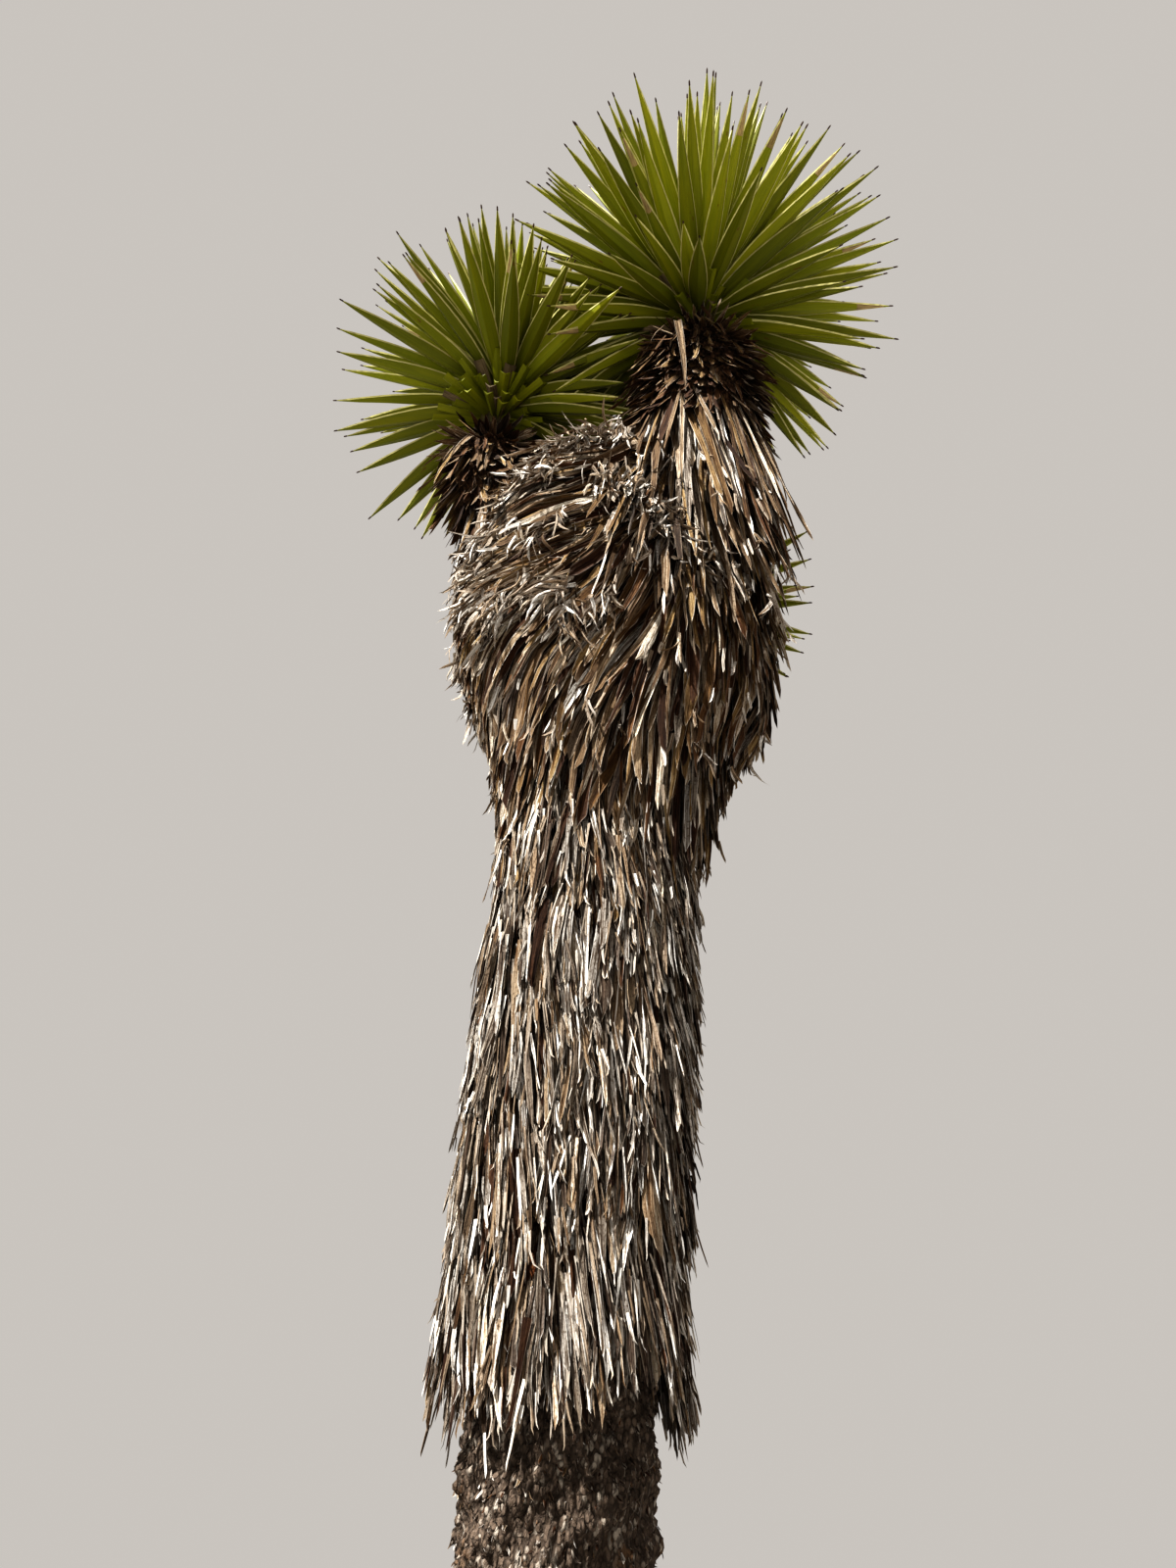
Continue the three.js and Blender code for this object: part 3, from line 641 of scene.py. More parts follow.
# The section of a dead leaf: an arc that rolls up towards its tip, ridged along, and thin
def rolledSection(leaves, rng, roll, look):
    across = look["across"]
    shares = np.linspace(0, 1, leaves.place.shape[1])
    bend = np.maximum(np.abs(roll)[:, None] * (0.55 + 0.85 * shares), 0.06)[..., None]
    radius = leaves.halfWidth[..., None] / bend
    x = radius * np.sin(bend * across)
    y = radius * (1 - np.cos(bend * across)) * np.sign(roll)[:, None, None]
    outer = np.concatenate([np.diff(across) > 0, [False]])
    outer[np.argmax(across)] = True
    rough = rng.standard_normal((len(leaves), 1, len(across))) + 0.7 * rng.standard_normal(x.shape)
    fade = np.minimum(leaves.halfWidth / leaves.halfWidth.max(1, keepdims=True), 1)[..., None]
    y = y + rough * look["ridges"] * fade * np.where(outer, 1, 0.4)
    y = y - np.where(outer, 0, look["thickness"]) * (0.3 + 0.7 * fade)
    x[:, -1] += rng.uniform(-0.8, 0.8, (len(leaves), 1)) * leaves.halfWidth[:, -2:-1]
    return np.stack([x, y], -1)


# Shares of a dead leaf's length at its stations, closer together near its torn end
def deadShares(stations):
    return 1 - (1 - np.linspace(0, 1, stations)) ** 1.7


# How wide a dead leaf is along its length, against its widest, with ragged edges
def deadOutline(rng, shares, taperFrom, rough, tip=0.42):
    ragged = 1 + rough * rng.standard_normal((len(taperFrom), len(shares)))
    return (1 - (1 - tip) * smoothStep(column(taperFrom), 1.0, shares[None])) * np.clip(ragged, 0.5, 1.5)


# Free hanging lines: they leave their root at an angle, and then wander, and hook at the tip
def hangingLines(rng, root, heading, out, length, hook, look):
    count = len(root)
    sideways = unit(np.cross(heading, out))
    t = deadShares(look["stations"])[None, :, None]
    length = column(length)[:, None]
    line = root[:, None] + length * heading[:, None] * t
    for way, share in ((sideways, 1.0), (out, 0.5)):
        phase = rng.uniform(0, fullTurn, (count, 1, 1))
        waves = rng.uniform(0.7, 1.6, (count, 1, 1))
        size = rng.uniform(0, 1, (count, 1, 1)) * look["wander"] * share
        line = line + way[:, None] * size * length * t * np.sin(fullTurn * waves * t + phase)
    turn = rng.uniform(0, fullTurn, (count, 1))
    hooked = out * np.abs(np.cos(turn)) + sideways * np.sin(turn)
    late = np.maximum(0, t - 0.62) / 0.38
    return line + hooked[:, None] * length * column(hook)[:, None] * late**2


# Torn leaves along lines
def tornLeaves(rng, line, face, width, taper, look):
    count = len(line)
    shares = deadShares(look["stations"])
    halfWidth = column(width / 2) * deadOutline(rng, shares, taper, look["rough"])
    twist = column(rng.normal(0, look["ownTwist"], count))
    twist = twist + column(rng.normal(0, look["twist"], count)) * shares
    return Leaves(line, face, halfWidth, rng.random(count), twist)


# Torn leaves that hang from points on a surface, and end above the bare bark if they are clear of it
def hangingLeaves(rng, point, heading, out, look, clear=False):
    count = len(point)
    length = rng.uniform(*look["length"], count)
    if clear:
        length = clearOfBark(rng, length, point)
    width = rng.uniform(*look["width"], count)
    taper = rng.uniform(*look["taper"], count)
    hook = rng.normal(0, 1, count) * look["hook"]
    line = hangingLines(rng, point - out * look["inset"], heading, out, length, hook, look)
    return tornLeaves(rng, line, out[:, None], width, taper, look)


# The lowest leaves end in a ragged line that leaves the bark below it bare
def clearOfBark(rng, length, root):
    room = root[:, 2] - skirtRoom["lowestTip"] + 0.05 * (patches(root * level, 0.18, 19) - 0.5)
    return np.minimum(length, np.maximum(room, 0.05) * rng.uniform(0.75, 1.08, len(root)))


# Stiff leaves or strips of one outline, or of torn ones where none is given
def stiffLeaves(rng, root, heading, out, length, hook, look, outline=None):
    count = len(root)
    line = hangingLines(rng, root, heading, out, length, hook, look)
    halfWidth = column(rng.uniform(*look["width"], count) / 2)
    if outline is None:
        outline = deadOutline(rng, deadShares(look["stations"]), np.full(count, 0.3), look["rough"])
    tone = rng.random(count)
    twist = column(rng.normal(0, look["twist"], count))
    return Leaves(line, out[:, None], halfWidth * outline, tone, twist)


# Rolls dead leaves, deals them to colours by their weights, and adds one piece for each colour
def addDeadLeaves(name, leaves, rng, look, weights, nodes):
    count = len(leaves)
    roll = rng.uniform(*look["roll"], count)
    if "flips" in look:
        roll = roll * rng.choice([-1, 1], count, p=look["flips"])
    section = rolledSection(leaves, rng, roll, look)
    shares = np.stack([np.broadcast_to(weight, count) for weight in weights.values()], 1)
    edges = np.cumsum(shares / shares.sum(1, keepdims=True), 1)
    dealt = (rng.random(count)[:, None] > edges).sum(1).clip(0, len(weights) - 1)
    for index, colour in enumerate(weights):
        chosen = dealt == index
        if chosen.any():
            addSkins(f"{name}_{colour}", leaves.taken(chosen), section[chosen], look["across"],
                     deadFinishes[colour], nodes)
    print(name, count, "leaves")


bark = {
    "around": 256, "up": 300, "denseTo": 2.05, "denseShare": 0.88, "calmFrom": 2.1, "calm": 0.3,
    "relief": 0.013, "scaleHeight": 0.034, "scaleWidth": 0.02, "lumps": 0.008, "lumpSize": 0.13,
    "limits": (-0.03, 0.022), "armCalm": 0.45, "armLimit": 0.006,
}


# How far bark stands out at a place: broken leaf scars in rows, lumps, and fibres
def barkRelief(place, size=1.0):
    spot = Vector(place)
    scar = Vector((spot.x / bark["scaleWidth"], spot.y / bark["scaleWidth"], spot.z / bark["scaleHeight"]))
    near, beyond = noise.voronoi(scar)[0][:2]
    plates = min(beyond - near, 0.5) * 2
    fibre = noise.fractal(Vector((spot.x * 60, spot.y * 60, spot.z * 16)), 0.8, 2.1, 4)
    lump = noise.noise(spot / bark["lumpSize"])
    edge = noise.noise(scar * 0.9)
    return size * (bark["relief"] * (plates - 0.6 + 0.7 * edge + 0.35 * fibre) + bark["lumps"] * lump)


def trunkBarkPlace(heights, angles):
    z = np.interp(heights, (0, bark["denseShare"], 1), (0, bark["denseTo"], trunk["forkHeight"]))
    bare = pointRoundTrunk(trunkRadius, z, angles)
    fade = np.where(z < bark["calmFrom"], 1.0, bark["calm"])
    relief = [barkRelief(spot, size) for spot, size in zip(bare, fade)]
    return bare + levelOut(angles) * column(np.clip(relief, *bark["limits"]))


def addArmBark(name):
    arm = arms[name]

    def place(heights, angles):
        radius = mix(arm["footRadius"], arm["tipRadius"], heights)
        spot, _, out = surfaceRoundArm(name, heights, angles, radius)
        relief = [barkRelief(one, bark["armCalm"]) for one in spot]
        return spot + out * column(np.minimum(relief, bark["armLimit"]))

    addWrapped(f"armBark_{name}", 64, 60, place, barkFinishes["yuccaBark"], [f"arm_{name}"])


addWrapped("trunkBark", bark["around"], bark["up"], trunkBarkPlace, barkFinishes["yuccaBark"],
           ["trunk"])
for armName in arms:
    addArmBark(armName)
print("bark made")

scraps = {
    **deadLeaf, "count": 9500, "heights": (0.03, 1.95), "length": (0.006, 0.022), "width": (0.003, 0.009),
    "lift": (5, 38), "stray": 0.45, "hook": (-0.1, 0.3), "sunk": 0.004, "stations": 3, "wander": 0.08,
    "rough": 0.17, "twist": 0.5, "roll": (-1.2, 0.8), "thickness": 0.0024, "ridges": 0.0012,
    "weights": {"umber": 0.26, "ash": 0.34, "grey": 0.13, "tan": 0.13, "russet": 0.06, "cream": 0.03,
                "bleached": 0.05},
}


# Crumbs and broken ends of old leaves that stand out of the bark
def addScraps():
    rng = np.random.default_rng(5)
    count = scraps["count"]
    z = rng.uniform(*scraps["heights"], count)
    point, along, out = surfaceRoundTrunk(trunkRadius, z, rng.uniform(0, fullTurn, count))
    relief = np.clip([barkRelief(spot) for spot in point], *bark["limits"])
    lift = np.radians(rng.uniform(*scraps["lift"], count))
    heading = leaned(along, out, lift, rng.normal(0, scraps["stray"], count))
    length = rng.uniform(*scraps["length"], count)
    root = point + out * column(relief - scraps["sunk"])
    leaves = stiffLeaves(rng, root, heading, out, length, rng.uniform(*scraps["hook"], count), scraps)
    addDeadLeaves("barkScraps", leaves, rng, scraps, scraps["weights"], ["trunk"])


addScraps()

deadCore = {
    "foot": 1.8, "belowTop": 0.02, "around": 104, "up": 140, "inset": 0.03,
    "lumps": 0.016, "lumpSize": 0.07, "knots": 0.012, "knotSize": 0.025,
}


# The packed leaf bases behind the dead leaves, in one closed body from the skirt up over the shoulders; their
# near-black colour is painted shade in the gaps between the leaves
def deadCorePlace(heights, angles):
    z = mix(deadCore["foot"], shoulderValue("shoulderTop", angles) - deadCore["belowTop"], heights)
    onSkirt = column(z < shoulderRoom["foot"] + 0.05)
    spot = pointRoundTrunk(shoulderRadius, z, angles)
    spot = np.where(onSkirt, pointRoundTrunk(skirtRadius, z, angles), spot)
    offset = (spot - trunkAxis(z)) * level
    lumps = deadCore["lumps"] * patches(spot, deadCore["lumpSize"], 3)
    inset = deadCore["inset"] + lumps + deadCore["knots"] * patches(spot, deadCore["knotSize"], 4)
    reach = np.linalg.norm(offset, axis=1)
    return sunk(trunkAxis(z) + unit(offset) * column(np.maximum(reach - inset, 0.02)))


addWrapped("deadLeafCore", deadCore["around"], deadCore["up"], deadCorePlace, barkFinishes["packedLeafBasesShade"],
           [*tierNodes, *shoulderNodes])

skirt = {
    **deadLeaf, "rows": 14, "columns": 116, "inset": 0.012, "length": (0.1, 0.25), "width": (0.008, 0.023),
    "lift": 7.5, "liftSpread": 1.6, "lifts": (4, 13), "spread": 3.8, "taper": (0.7, 0.95), "hook": 0.008,
    "twist": 0.35, "roll": (0.5, 1.9), "flips": (0.6, 0.4), "ridges": 0.0016, "shreds": 0.85,
    "tierSway": 0.12, "clumps": 27, "clumping": 0.75, "clumpDepth": 0.028, "flow": 10,
}
# Wide flat leaves further in, whose warm faces show between the outer ones
straps = {
    **deadLeaf, "rows": 3, "columns": 30, "inset": 0.02, "length": (0.22, 0.32), "width": (0.022, 0.042),
    "lift": (4, 8), "spread": 4, "taper": (0.4, 0.7), "hook": 0.01, "twist": 0.2, "roll": (-0.7, 0.5),
    "thickness": 0.003, "ridges": 0.001,
}
# Thin frayed strips and fibres over the skirt
strands = {
    **deadLeaf, "count": 1300, "across": threadAcross, "length": (0.06, 0.17), "width": (0.003, 0.007),
    "lift": (6, 11), "spread": 5, "taper": (0.2, 0.7), "hook": 0.03, "twist": 1.2,
    "weights": {"bleached": 0.22, "cream": 0.14, "grey": 0.52, "ash": 0.12},
}


# Roots over the whole skirt: rows and columns in each tier, drawn together in clumps, with the tiers' feet
# swaying round
def skirtRoots(rng, rows, columns):
    tier, row, place = (part.ravel() for part in np.indices((skirtRoom["tiers"], rows, columns)))
    count = len(tier)
    angle = (place + 0.5 * row + 0.37 * tier + 0.8 * (rng.random(count) - 0.5)) / columns * fullTurn
    rise = (row + rng.random(count)) / rows * skirtRoom["pitch"]
    ring = levelOut(angle, tier * 0.7) * 0.3
    sway = skirt["tierSway"] * (patches(ring, 0.32, 9) - 0.5)
    z = skirtRoom["lowestFoot"] + tier * skirtRoom["pitch"] + rise
    phase = skirt["clumps"] * angle + 5 * patches(ring - down * column(z), 0.35, 8)
    angle = angle + skirt["clumping"] / skirt["clumps"] * np.sin(phase)
    point, _, out = surfaceRoundTrunk(skirtRadius, z, angle)
    depth = skirt["clumpDepth"] * (0.5 + 0.5 * np.cos(phase + math.pi)) * rng.uniform(0.4, 1.3, count)
    return point - down * column(sway) - out * column(skirt["clumpDepth"] - depth), out


# Which colours a dead leaf may have: paler and greyer low on the plant, warmer and darker high on it
def agedWeights(place, deeper=0.0):
    high = smoothStep(2.7, 3.7, place[:, 2])
    warm = patches(place, 0.16, 21)
    pale = patches(place, 0.12, 22)
    return {
        "bleached": (0.14 - 0.115 * high) * (0.5 + pale) * (1 - deeper),
        "cream": (0.08 + 0.07 * high) * (0.5 + pale) * (1 + 2.5 * deeper),
        "grey": (0.42 - 0.37 * high) * (1.25 - 0.5 * warm) * (1 - 0.6 * deeper),
        "ash": (0.22 - 0.17 * high) * (1.25 - 0.5 * pale) * (1 - 0.5 * deeper),
        "golden": (0.005 + 0.275 * high) * (0.3 + 1.4 * warm) * (1 + 2.5 * deeper * high),
        "tan": (0.035 + 0.355 * high) * (0.4 + 1.2 * warm),
        "russet": (0.005 + 0.145 * high) * (0.4 + 1.2 * warm),
        "umber": (0.1 + 0.05 * high) * (1 + 1.5 * deeper * high),
    }


# A soft swing of the leaves to one side or the other that neighbours share, from -1 to 1
def sharedLean(place, seed):
    return (patches(place, 0.2, seed) - 0.5) * 2


# The way down, lifted off a surface and spread to one side, by degrees
def hung(out, lift, spread):
    return leaned(down, out, np.radians(lift), np.sin(np.radians(spread)))


def addSkirt():
    rng = np.random.default_rng(11)
    point, out = skirtRoots(rng, skirt["rows"], skirt["columns"])
    count = len(point)
    lift = np.clip(rng.normal(skirt["lift"], skirt["liftSpread"], count), *skirt["lifts"])
    spread = rng.normal(0, skirt["spread"], count) + skirt["flow"] * sharedLean(point, 15)
    leaves = hangingLeaves(rng, point, hung(out, lift, spread), out, skirt, clear=True)
    addDeadLeaves("skirtLeaves", leaves, rng, skirt, agedWeights(point), tierNodes)
    addShreds("skirtShreds", leaves, rng, skirt["shreds"], tierNodes)


def addSkirtStraps():
    rng = np.random.default_rng(12)
    point, out = skirtRoots(rng, straps["rows"], straps["columns"])
    lift = rng.uniform(*straps["lift"], len(point))
    heading = hung(out, lift, rng.normal(0, straps["spread"], len(point)))
    leaves = hangingLeaves(rng, point, heading, out, straps, clear=True)
    # The straps further in take only the darker tones: painted shade between the outer leaves
    leaves.tone = 0.15 + 0.5 * leaves.tone
    addDeadLeaves("skirtStraps", leaves, rng, straps, agedWeights(point, 1.0), tierNodes)


def addSkirtStrands():
    rng = np.random.default_rng(13)
    count = strands["count"]
    z = rng.uniform(skirtRoom["lowestFoot"], shoulderRoom["foot"] + 0.1, count)
    point, _, out = surfaceRoundTrunk(skirtRadius, z, rng.uniform(0, fullTurn, count))
    spread = rng.normal(0, strands["spread"], count) + skirt["flow"] * sharedLean(point, 15)
    heading = hung(out, rng.uniform(*strands["lift"], count), spread)
    leaves = hangingLeaves(rng, point, heading, out, strands, clear=True)
    addDeadLeaves("skirtStrands", leaves, rng, strands, strands["weights"], tierNodes)


shreds = {
    **deadLeaf, "across": threadAcross, "stations": 4, "length": (0.03, 0.09), "width": (0.004, 0.009),
    "narrows": 0.45, "fan": 0.15, "raised": (-0.004, 0.003), "stray": 0.06, "wander": 0.05, "hook": 0.1,
    "twist": 0.9,
}


# Straight narrow strips into which the ends of leaves have split: they start inside a leaf and fan out
def addShreds(name, leaves, rng, share, nodes, longer=1.0, wider=1.0):
    chosen = np.flatnonzero(rng.random(len(leaves)) < share)
    count = len(chosen)
    spot = rng.uniform(0.45, 0.85, count) * (leaves.place.shape[1] - 1)
    below = spot.astype(int)
    across = rng.uniform(-1, 1, count)
    start, end = leaves.place[chosen, below], leaves.place[chosen, below + 1]
    side, face = leaves.side[chosen, below], leaves.face[chosen, below]
    aside = column(across * leaves.halfWidth[chosen, below] * 0.8)
    root = mix(start, end, column(spot - below)) + side * aside
    root = root + face * column(rng.uniform(*shreds["raised"], count))
    way = unit(end - start) + side * column(across * shreds["fan"])
    way = unit(way + rng.standard_normal((count, 3)) * shreds["stray"])
    length = rng.uniform(*shreds["length"], count) * longer
    outline = (1 - shreds["narrows"] * deadShares(shreds["stations"]) ** 2) * wider
    hook = rng.normal(0, shreds["hook"], count)
    strips = stiffLeaves(rng, root, way, face, length, hook, shreds, outline)
    high = smoothStep(2.6, 3.5, root[:, 2])
    weights = {"bleached": 0.28 - 0.06 * high, "cream": 0.12 + 0.1 * high, "grey": 0.36 - 0.3 * high,
               "ash": 0.12 - 0.1 * high, "tan": 0.08 + 0.32 * high, "golden": 0.02 + 0.14 * high}
    addDeadLeaves(name, strips, rng, shreds, weights, nodes)


curls = {
    **deadLeaf, "across": threadAcross, "stations": 6, "length": (0.035, 0.1), "width": (0.006, 0.014),
    "narrows": 0.55, "turn": (0.4, 2.4), "stray": 0.14, "drop": 0.22, "ridges": 0.0004, "perEnd": 3,
    "weights": {"bleached": 0.64, "cream": 0.2, "grey": 0.04, "tan": 0.12},
}


# Bleached shreds of torn leaf ends: short strips that curl, those of one lock about a shared axis
def addCurls(name, root, way, rng, nodes, longer=1.0, lockAxis=0.0):
    count = len(root)
    steps = curls["stations"] - 1
    length = rng.uniform(*curls["length"], count) * longer
    axis = unit(rng.standard_normal((count, 3)) * 0.5 + lockAxis)
    turn = rng.uniform(*curls["turn"], count) / steps
    line = [root]
    for _ in range(steps):
        way = way + np.cross(axis, way) * column(turn) + rng.standard_normal((count, 3)) * curls["stray"]
        way = unit(way + down * curls["drop"])
        line.append(line[-1] + way * column(length / steps))
    shares = np.linspace(0, 1, steps + 1)
    halfWidth = column(rng.uniform(*curls["width"], count) / 2) * (1 - curls["narrows"] * shares**3)
    tone = rng.random(count)
    twist = column(rng.normal(0, 1.0, count)) * shares
    strips = Leaves(np.stack(line, 1), np.cross(axis, way)[:, None], halfWidth, tone, twist)
    addDeadLeaves(name, strips, rng, curls, curls["weights"], nodes)


# Curls that start inside the torn tips of leaves
def addTornEnds(name, leaves, rng, share, nodes):
    chosen = np.repeat(np.flatnonzero(rng.random(len(leaves)) < share), curls["perEnd"])
    count = len(chosen)
    before, end = leaves.place[chosen, -2], leaves.place[chosen, -1]
    aside = leaves.side[chosen, -2] * column(rng.uniform(-0.7, 0.7, count) * leaves.halfWidth[chosen, -2])
    start = mix(before, end, column(rng.uniform(0.0, 0.8, count)))
    way = unit(unit(end - before) + rng.standard_normal((count, 3)) * 0.25)
    addCurls(name, start + aside, way, rng, nodes)


addSkirt()
addSkirtStraps()
addSkirtStrands()

shoulder = {
    **deadLeaf, "rowPitch": 0.042, "spacing": 0.024, "length": (0.28, 0.54), "width": (0.012, 0.036),
    "lift": 8, "stations": 6, "taper": (0.7, 0.95), "rough": 0.17, "twist": 0.3, "roll": (0.3, 1.5),
    "flips": (0.5, 0.5), "thickness": 0.0026, "ridges": 0.0014, "tipDrop": 0.25, "tipCurl": 0.06,
    "shreds": 0.35, "curls": 0.04, "strata": 0.085, "strataDepth": 0.02, "standOut": 0.06, "bend": 0.4,
    "rightHang": 0.45, "rowsTo": 4.46, "liftSpread": 2.5, "lifts": (2, 16), "stray": 4, "sharedStray": 10,
    "combed": (3.42, 3.84), "combedTo": (0.1, 0.4), "lowCombed": (3.15, 3.6), "lowCombedTo": (0.2, 0.55),
}


# Which way dead leaves lie on the shoulders: down, but combed over to the left on the left one's front and
# top, and aslant between it and the right one
def combed(place, along, out):
    x, y, z = place[..., 0], place[..., 1], place[..., 2]
    slant = smoothStep(*shoulder["combed"], z) * (1 - smoothStep(*shoulder["combedTo"], x)) * 0.95
    low = smoothStep(*shoulder["lowCombed"], z) * (1 - smoothStep(*shoulder["lowCombedTo"], x)) * 0.45
    front = mix(1.0, 0.35, smoothStep(-0.05, 0.2, y))
    share = np.maximum(slant, low) * front * mix(0.25, 1.0, smoothStep(-0.3, -0.1, x))
    aside = unit(leftward - out * dot(out, leftward) + 1e-6)
    return unit(mix(unit(along * 0.6 + down * 0.4), aside, column(share)))


# How places lie on the shoulders: from the axis, at which angle, and how high the surface is there
def onShoulders(place, belowTop):
    offset, angle = roundTrunk(place)
    return offset, angle, np.minimum(place[:, 2], shoulderValue("shoulderTop", angle) - belowTop)


# Stiff lines that lie on the shoulders the way flowAt says, lift off little by little, and end in a free tip
# that drops and curls
def combedLines(rng, flowAt, z, angle, depth, length, lift, stray, look):
    count = len(z)
    tipDrop = rng.uniform(0, look["tipDrop"], count)
    tipCurl = np.abs(rng.normal(0, look["tipCurl"], count))
    curlTurn = rng.uniform(0, fullTurn, count)
    point, _, out = surfaceRoundTrunk(shoulderRadius, z, angle)
    place = point - out * column(depth)
    line = [place]
    faces = [out]
    steady = None
    last = look["stations"] - 1
    for station, step in enumerate(np.diff(deadShares(look["stations"])), 1):
        _, turned, height = onShoulders(place, 0.03)
        _, along, out = surfaceRoundTrunk(shoulderRadius, height, turned)
        flow = flowAt(place, along, out)
        sideways = unit(np.cross(flow, out))
        tilt = np.radians(lift) * (1 - 0.8 * np.clip(out[:, 2], 0, 1))
        fresh = swing(flow, out, tilt) + sideways * column(np.sin(np.radians(stray)))
        steady = fresh if steady is None else unit(mix(steady, fresh, look["bend"]))
        late = max(0.0, station / last - 0.55) / 0.45
        curl = out * column(np.abs(np.cos(curlTurn))) + sideways * column(np.sin(curlTurn))
        way = steady + down * column(tipDrop) * late + curl * column(tipCurl) * late
        atRight = smoothStep(0.1, 0.7, np.cos(turned)) * smoothStep(-0.5, -0.1, -np.abs(place[:, 2] - 3.35))
        place = place + unit(mix(way, down, column(atRight) * look["rightHang"])) * column(length * step)
        # A leaf stays near the surface, and ends a little off it
        offset, turned, height = onShoulders(place, 0.1)
        free = (look["standOut"] + 0.05 * atRight) * station / last
        furthest = shoulderRadius(height, turned) + free + 0.01
        back = np.minimum(1, furthest / np.maximum(np.hypot(offset[:, 0], offset[:, 1]), 0.01))
        place = place - offset * level * column(1 - back)
        line.append(place)
        faces.append(out)
    return sunk(np.stack(line, 1)), np.stack(faces, 1)


# The leaves along combed lines, with shreds and curls at some of their ends
def addCombed(name, rng, line, face, look, weights):
    width = rng.uniform(*look["width"], len(line))
    leaves = tornLeaves(rng, line, face, width, rng.uniform(*look["taper"], len(line)), look)
    addDeadLeaves(name, leaves, rng, look, weights, shoulderNodes)
    addShreds(f"{name}Shreds", leaves, rng, look["shreds"], shoulderNodes, 1.1, 1.6)
    addTornEnds(f"{name}Curls", leaves, rng, look["curls"], shoulderNodes)


# Rows of roots up the shoulders
def shoulderRoots(rng):
    angles = []
    heights = []
    for z in np.arange(shoulderRoom["foot"], shoulder["rowsTo"], shoulder["rowPitch"]):
        around = np.mean(shoulderRadius(np.full(24, z), np.linspace(0, fullTurn, 24))) * fullTurn
        count = max(6, int(around / shoulder["spacing"]))
        turn = (np.arange(count) + rng.random() + 0.8 * (rng.random(count) - 0.5)) / count * fullTurn
        height = z + shoulder["rowPitch"] * (rng.random(count) - 0.5)
        kept = height < shoulderValue("shoulderTop", turn) - 0.03
        angles.append(turn[kept])
        heights.append(height[kept])
    return np.concatenate(heights), np.concatenate(angles)


def addShoulders():
    rng = np.random.default_rng(31)
    z, angle = shoulderRoots(rng)
    count = len(z)
    length = rng.uniform(*shoulder["length"], count)
    root = pointRoundTrunk(shoulderRadius, z, angle)
    lift = np.clip(rng.normal(shoulder["lift"], shoulder["liftSpread"], count), *shoulder["lifts"])
    lift = lift * mix(0.4, 1.0, smoothStep(3.2, 3.7, z))
    stray = rng.normal(0, shoulder["stray"], count) + shoulder["sharedStray"] * sharedLean(root, 33)
    strata = 0.5 + 0.5 * np.sin(fullTurn * (z + 0.12 * root[:, 0]) / shoulder["strata"])
    depth = 0.006 + shoulder["strataDepth"] * strata
    line, face = combedLines(rng, combed, z, angle, depth, length, lift, stray, shoulder)
    addCombed("shoulderLeaves", rng, line, face, shoulder, agedWeights(root))


# Layers of leaves combed over the left shoulder, one under the other: where each starts at its right end and
# stops at its left, across and up, half its height, and its leaves
mats = {
    **shoulder,
    "layers": [((0.36, 4.2), (-0.13, 4.28), 0.056, 170), ((0.3, 4.02), (-0.24, 4.1), 0.046, 150),
               ((0.26, 3.89), (-0.3, 3.87), 0.036, 120), ((0.25, 3.79), (-0.31, 3.74), 0.036, 120)],
    "width": (0.014, 0.032), "lift": 4, "tipDrop": 0.3, "tipCurl": 0.08, "shreds": 0.2, "curls": 0.12,
    "proud": 0.046, "slope": 0.12, "shortest": 0.16, "startsTo": 0.72, "liftSpread": 2, "stray": 5,
    "weights": {"tan": 0.32, "golden": 0.46, "russet": 0.08, "umber": 0.02, "cream": 0.1, "bleached": 0.02},
}


# The angle of the shoulders' front at a place across it
def frontAngle(x, z):
    turns = np.linspace(-math.pi, -0.1, 120)
    return np.interp(x, pointRoundTrunk(shoulderRadius, np.full(120, z), turns)[:, 0], turns)


# Leftward along the surface, and on out of it into the air where the surface turns back
def matFlow(place, along, out):
    sloping = unit(leftward + down * mats["slope"])
    flat = sloping - out * dot(sloping, out)
    free = 1 - smoothStep(0.35, 0.75, np.linalg.norm(flat, axis=-1, keepdims=True))
    return unit(mix(unit(flat), unit(sloping + down * 0.5), free))


def addMats():
    rng = np.random.default_rng(37)
    for index, ((rightX, rightZ), (leftX, leftZ), half, count) in enumerate(mats["layers"]):
        start = rng.uniform(0, mats["startsTo"], count)
        aside = rng.uniform(-1, 1, count)
        x = mix(rightX, leftX, start)
        z = mix(rightZ, leftZ, start) + aside * half
        depth = 0.012 - mats["proud"] * (1 - aside**2) * rng.uniform(0.5, 1.1, count)
        length = np.maximum(mats["shortest"], x - leftX) * rng.uniform(0.75, 1.12, count)
        lift = rng.normal(mats["lift"], mats["liftSpread"], count)
        line, face = combedLines(rng, matFlow, z, frontAngle(x, (rightZ + leftZ) / 2), depth, length, lift,
                                 rng.normal(0, mats["stray"], count), mats)
        addCombed(f"mat{index}", rng, line, face, mats, mats["weights"])


